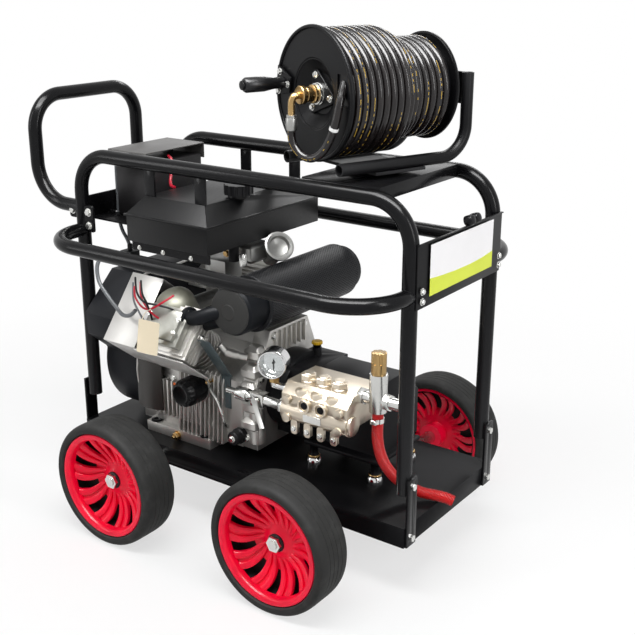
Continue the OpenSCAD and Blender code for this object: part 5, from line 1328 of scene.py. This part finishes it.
def dress_manifold():
    """The valve caps, and the barrels, ports and ears of the pump's head."""
    s = Shape()
    for x in CAP_X:
        place = at(x, CAP_Y, HEAD_TOP)
        s.lathe(CAP_COLLAR, place, 36)
        s.bolt(place @ at(0, 0, CAP_SEAT), CAP_FLATS, head=CAP_HEAD, washer=0)
        s.lathe(CAP_TOP, place, 36)
    piece("valve_caps_dressed", s, "chassis", "manifold_nickel", "manifold_nickel", hides=("valve_caps",))

    s = Shape()
    for x in CAP_X:
        s.lathe(HEAD_BARREL, at(x, BARREL_Y, BARREL_Z), 32)
    for x in PORT_X:
        port = facing((x, HEAD_FACE - PORT_OUT, PORT_Z), TO_NEAR)
        s.lathe(PORT_RING, port, 36, closed=True)
        s.lathe(PORT_PLUG, port, 24, 1)
    for k in range(EAR_COUNT):
        ear = facing((EAR_FROM + EAR_PITCH * k, HEAD_FACE + EAR_IN, EAR_Z), TO_NEAR)
        s.plate(rounded(EAR_WIDE, EAR_TALL, EAR_CORNER), EAR_THICK, ear)
        s.bolt(ear @ at(0, -EAR_BOLT_DROP, EAR_THICK), EAR_FLATS, 2)
    plate = rounded(HEAD_PLATE_WIDE, HEAD_PLATE_TALL, HEAD_PLATE_CORNER)
    s.plate(plate, HEAD_PLATE_THICK, facing(HEAD_PLATE_AT, TO_NEAR), HEAD_PLATE_EDGE, 2)
    piece("manifold_fittings", s, "chassis", "manifold_nickel", "manifold_nickel", "gearbox_black", "zinc")


def dress_gauge(centre, out):
    """The dial under the needle and the bezel round the glass."""
    needle = [v.co.dot(out) for v in frame["nodes"]["gauge_needle"].data.vertices]
    case = [v.co.dot(out) for v in frame["nodes"]["gauge_case"].data.vertices]
    flat = centre.dot(out)
    s = Shape()
    dial = facing(centre + out * (min(needle) - flat - DIAL_GAP), out)
    s.lathe(DIAL, dial, 48)
    for k in range(DIAL_MARKS):
        long, wide = LONG_MARK if k % LONG_EVERY == 0 else SHORT_MARK
        turn = Matrix.Rotation(radians(DIAL_FROM - DIAL_STEP * k), 4, "Z")
        place = dial @ turn @ at(MARKS_R - long / 2, 0, MARK_LIFT)
        s.plate(rounded(long, wide, MARK_CORNER, 1), MARK_THICK, place, MARK_EDGE, 1)
    piece("gauge_dial", s, "chassis", "gauge_steel", "dial_white", "needle_black")
    s = Shape()
    s.lathe(BEZEL, facing(centre + out * (max(case) - flat), out), 56, closed=True)
    piece("gauge_bezel", s, "chassis", "gauge_steel", "gauge_steel")


def dress_pump():
    """Every fitting of the pump, with its feet and the dipstick."""
    dress_manifold()
    centre = Vector(JOINTS["needle_turn"]["pos_m"])
    dress_gauge(centre, -Vector(JOINTS["needle_turn"]["axis"]))

    s = Shape()
    s.bolt(facing((UNION_X, TEE.y, UNION_Z), TO_FRONT), UNION_FLATS, head=UNION_HEAD, washer=0)
    s.bolt(at(centre.x, centre.y, GAUGE_NUT_Z), GAUGE_NUT_FLATS, head=GAUGE_NUT_HEAD, washer=0)
    piece("pump_brass", s, "chassis", "knob_brass", "knob_brass")
    s = Shape()
    band = at(HOSE_FROM.x, HOSE_FROM.y, HOSE_FROM.z - CLAMP_DROP)
    s.lathe(CLAMP_BAND, band, 32, closed=True)
    s.block(CLAMP_BLOCK, band @ at(*CLAMP_BLOCK_AT), CLAMP_EDGE)
    s.bolt(facing(band @ Vector(CLAMP_SCREW_AT), TO_FRONT), CLAMP_FLATS)
    piece("hose_clamp", s, "chassis", "zinc", "zinc")

    s = Shape()
    for x, y in MOUNTS:
        place = at(x, y, MOUNT_Z)
        s.lathe(FOOT_DOME, place, 36)
        s.lathe(FOOT_RING, place, 36, 1)
        s.lathe(FOOT_NECK, place, 28, 2)
    piece("pump_mounts_dressed", s, "chassis", "foot_chrome", "foot_chrome", "knob_brass", "cap_black",
          hides=("pump_mounts",))

    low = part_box("dipstick")[0]
    stem = Vector(JOINTS["dipstick_pull"]["pos_m"])
    head = at(stem.x, stem.y, stem.z)
    s = Shape()
    s.lathe(((DIPSTICK_R, low.z - stem.z), *DIPSTICK_NECK), head, 28, 1)
    fluted(s, DIPSTICK_TOP, head, DIPSTICK_FLUTES, 0, 64)
    piece("dipstick_dressed", s, "dipstick", "dipstick_yellow", "dipstick_yellow", "cap_black",
          hides=("dipstick",))


# Engine castings and ducts
FIN_COUNT, FIN_FROM, FIN_PITCH, FIN_THICK, FIN_EDGE = 11, -0.124, 0.0132, 0.0042, 0.0010
FIN_SIDE = (
    (-0.112, 0.203), (-0.140, 0.203), (-0.139, 0.214), (-0.131, 0.345), (-0.126, 0.362), (-0.112, 0.372),
)
BULGES = (
    # height, length up, place in depth
    (0.428, 0.036, -0.094), (0.388, 0.034, -0.108), (0.350, 0.034, -0.114), (0.306, 0.036, -0.108),
    (0.262, 0.034, -0.110),
)
BULGE_X, BULGE_WIDE, BULGE_DEEP, BULGE_EDGE = 0.078, 0.046, 0.040, 0.010
CORNER_X, CORNER_Y = 0.086, -0.105
CORNER = (
    (0.0, 0.212), (0.016, 0.212), (0.020, 0.217), (0.020, 0.246), (0.018, 0.251), (0.018, 0.330),
    (0.0, 0.338),
)
CASE_PIPE = ((0.020, -0.150, 0.452), (0.032, -0.142, 0.436), (0.052, -0.128, 0.428), (0.074, -0.118, 0.424))
CASE_PIPE_R, CASE_CUFF_R = 0.0085, 0.0100
NEAR_BAFFLE, NEAR_BAFFLE_AT, NEAR_BAFFLE_EDGE = (0.150, 0.003, 0.110), (-0.008, -0.066, 0.205), 0.001
BAFFLE_X = (-0.255, -0.235, -0.215, -0.195, -0.175)
BAFFLE_Y, BAFFLE_Z, BAFFLE_TALL = -0.150, 0.238, 0.150
BAFFLE_BOW, BAFFLE_THICK, BAFFLE_EDGE = 0.0105, 0.003, 0.0006
EXHAUST_R = 0.0165
EXHAUST = (
    (-0.028, -0.196, 0.520), (-0.008, -0.200, 0.522), (0.012, -0.198, 0.528), (0.030, -0.188, 0.536),
    (0.050, -0.174, 0.542),
)
EXHAUST_FLANGE = ((0.0230, 0), (0.0230, 0.006), (0.0215, 0.007))
HORN_AT, HORN_WAY = (0.052, 0.020, 0.640), (0.70, -0.45, 0.55)
HORN_SCREW_AT, HORN_FLATS = (-0.030, -0.060, 0.634), 0.012
HORN_BOX, HORN_BOX_AT, HORN_BOX_EDGE = (0.060, 0.070, 0.044), (0.000, -0.010, 0.634), 0.008
HORN = (
    (0.020, -0.060), (0.022, -0.020), (0.030, 0.000), (0.034, 0.014), (0.034, 0.020), (0.030, 0.022),
    (0.024, 0.021), (0.021, 0.012), (0, 0.004),
)
BLACK_STUB_AT, ZINC_STUB_AT = (-0.004, -0.066, 0.622), (0.028, -0.072, 0.618)
BLACK_STUB = ((0.012, 0), (0.012, 0.030), (0.010, 0.033), (0, 0.033))
ZINC_STUB = ((0.009, 0), (0.009, 0.024), (0.007, 0.027), (0, 0.027))


def across(x):
    """A frame at x whose plane is Y and Z, and whose +Z runs along X."""
    return Matrix(((0, 0, 1, x), (1, 0, 0, 0), (0, 1, 0, 0), (0, 0, 0, 1)))


def dress_castings():
    """The case's ribs and bulges, the baffles, the exhaust pipe and the air horn."""
    s = Shape()
    for k in range(FIN_COUNT):
        s.plate(FIN_SIDE, FIN_THICK, across(FIN_FROM + FIN_PITCH * k), FIN_EDGE)
    for z, tall, y in BULGES:
        s.block((BULGE_WIDE, BULGE_DEEP, tall), at(BULGE_X, y, z), BULGE_EDGE)
    s.lathe(CORNER, at(CORNER_X, CORNER_Y, 0), 32)
    s.tube(smooth(CASE_PIPE, 24), [CASE_PIPE_R] * 8 + [CASE_CUFF_R] * 9 + [CASE_PIPE_R] * 8, 14)
    piece("case_ribs", s, "chassis", "cast_aluminium", "cast_aluminium")

    s = Shape()
    s.block(NEAR_BAFFLE, NEAR_BANK @ at(*NEAR_BAFFLE_AT), NEAR_BAFFLE_EDGE)
    piece("near_baffle", s, "chassis", "shroud_silver", "shroud_silver")

    s = Shape()
    middle, half = BAFFLE_X[2], BAFFLE_X[4] - BAFFLE_X[2]
    sheet = [(x, BAFFLE_Y + BAFFLE_BOW * ((x - middle) / half) ** 2) for x in BAFFLE_X]
    back = [(x, y + BAFFLE_THICK) for x, y in reversed(sheet)]
    s.plate(sheet + back, BAFFLE_TALL, at(0, 0, BAFFLE_Z), BAFFLE_EDGE)
    # The side baffle is painted dark brown: painted shade
    piece("side_baffle", s, "chassis", "blower_black", "baffle_painted_shade")

    s = Shape()
    s.tube(smooth(EXHAUST, 30), EXHAUST_R, 18)
    s.lathe(EXHAUST_FLANGE, facing(EXHAUST[0], Vector(EXHAUST[1]) - Vector(EXHAUST[0])), 24)
    piece("exhaust_pipe", s, "chassis", "muffler_black", "muffler_black")

    s = Shape()
    s.lathe(HORN, facing(HORN_AT, HORN_WAY), 40)
    s.block(HORN_BOX, at(*HORN_BOX_AT), HORN_BOX_EDGE)
    s.lathe(BLACK_STUB, at(*BLACK_STUB_AT), 24, 1)
    s.lathe(ZINC_STUB, at(*ZINC_STUB_AT), 24, 2)
    s.bolt(facing(HORN_SCREW_AT, TO_NEAR), HORN_FLATS, 3)
    piece("air_horn", s, "chassis", "carb_grey", "carb_grey", "gearbox_black", "zinc", "knob_brass")


# Operators, in the order in which they run
class JETTER_OT_stage(bpy.types.Operator):
    """Sets the camera of the photograph, the pale floor, the world and the lights"""

    bl_idname = "jetter.stage"
    bl_label = "Set the stage"

    def execute(self, context):
        set_stage()
        return {"FINISHED"}


class JETTER_OT_paints(bpy.types.Operator):
    """Makes every finish from the colours in the panel"""

    bl_idname = "jetter.paints"
    bl_label = "Mix the finishes"

    def execute(self, context):
        mix_paints(context.scene.jetter_colours)
        return {"FINISHED"}


class JETTER_OT_cords(bpy.types.Operator):
    """Lays the ribbed by-pass hose and the battery cable"""

    bl_idname = "jetter.cords"
    bl_label = "Lay the cords"

    def execute(self, context):
        lay_cords(context.scene.jetter_sizes)
        return {"FINISHED"}


class JETTER_OT_wheels(bpy.types.Operator):
    """Makes the four spoked rims and their tyres"""

    bl_idname = "jetter.wheels"
    bl_label = "Fit the wheels"

    def execute(self, context):
        fit_wheels(context.scene.jetter_sizes)
        return {"FINISHED"}


class JETTER_OT_reel(bpy.types.Operator):
    """Winds the hose and makes the reel's fittings"""

    bl_idname = "jetter.reel"
    bl_label = "Fit the reel"

    def execute(self, context):
        fit_reel(context.scene.jetter_sizes)
        return {"FINISHED"}


class JETTER_OT_reel_details(bpy.types.Operator):
    """Adds the hub plate, the bolts and the hose clip of the reel"""

    bl_idname = "jetter.reel_details"
    bl_label = "Fit the reel's bolts"

    def execute(self, context):
        fit_reel_details()
        return {"FINISHED"}


class JETTER_OT_frame(bpy.types.Operator):
    """Adds the panel face, lugs, bolts and leads of the frame"""

    bl_idname = "jetter.frame"
    bl_label = "Dress the frame"

    def execute(self, context):
        dress_frame(context.scene.jetter_sizes)
        return {"FINISHED"}


class JETTER_OT_engine(bpy.types.Operator):
    """Adds the filter, bolts, wires, tag and muffler pieces of the engine"""

    bl_idname = "jetter.engine"
    bl_label = "Dress the engine"

    def execute(self, context):
        dress_engine(context.scene.jetter_sizes)
        return {"FINISHED"}


class JETTER_OT_castings(bpy.types.Operator):
    """Adds the case ribs, the baffles, the exhaust pipe and the air horn"""

    bl_idname = "jetter.castings"
    bl_label = "Add the castings"

    def execute(self, context):
        dress_castings()
        return {"FINISHED"}


class JETTER_OT_pump(bpy.types.Operator):
    """Adds the caps, dial, clamp and feet of the pump, and the dipstick"""

    bl_idname = "jetter.pump"
    bl_label = "Dress the pump"

    def execute(self, context):
        dress_pump()
        return {"FINISHED"}


class JETTER_OT_nodes(bpy.types.Operator):
    """Gives the shown CAD nodes their finishes and round edges"""

    bl_idname = "jetter.nodes"
    bl_label = "Finish the CAD nodes"

    def execute(self, context):
        finish_nodes(context.scene.jetter_sizes.edge)
        return {"FINISHED"}


STEPS = (JETTER_OT_stage, JETTER_OT_paints, JETTER_OT_cords, JETTER_OT_wheels, JETTER_OT_reel,
         JETTER_OT_reel_details, JETTER_OT_frame, JETTER_OT_engine, JETTER_OT_castings, JETTER_OT_pump,
         JETTER_OT_nodes)


class JETTER_PT_panel(bpy.types.Panel):
    """Sizes, colours and steps of the drain jetter"""

    bl_idname = "JETTER_PT_panel"
    bl_label = "Drain jetter"
    bl_space_type = "VIEW_3D"
    bl_region_type = "UI"
    bl_category = "Jetter"

    def draw(self, context):
        for group in (context.scene.jetter_sizes, context.scene.jetter_colours):
            box = self.layout.box()
            for key in group.__annotations__:
                box.prop(group, key)
        for step in STEPS:
            self.layout.operator(step.bl_idname)


CLASSES = (JetterSizes, JetterColours) + STEPS + (JETTER_PT_panel,)


def register():
    """Adds the settings, the steps and the panel to Blender."""
    for item in CLASSES:
        bpy.utils.register_class(item)
    bpy.types.Scene.jetter_sizes = PointerProperty(type=JetterSizes)
    bpy.types.Scene.jetter_colours = PointerProperty(type=JetterColours)


def unregister():
    """Takes them out again."""
    del bpy.types.Scene.jetter_colours
    del bpy.types.Scene.jetter_sizes
    for item in reversed(CLASSES):
        bpy.utils.unregister_class(item)


def run(step):
    """Calls one operator through bpy.ops."""
    group, name = step.bl_idname.split(".")
    if getattr(getattr(bpy.ops, group), name)() != {"FINISHED"}:
        raise RuntimeError(step.bl_label + " did not finish")


def main():
    """Runs every step."""
    register()
    for step in STEPS:
        run(step)


if __name__ == "__main__":
    main()
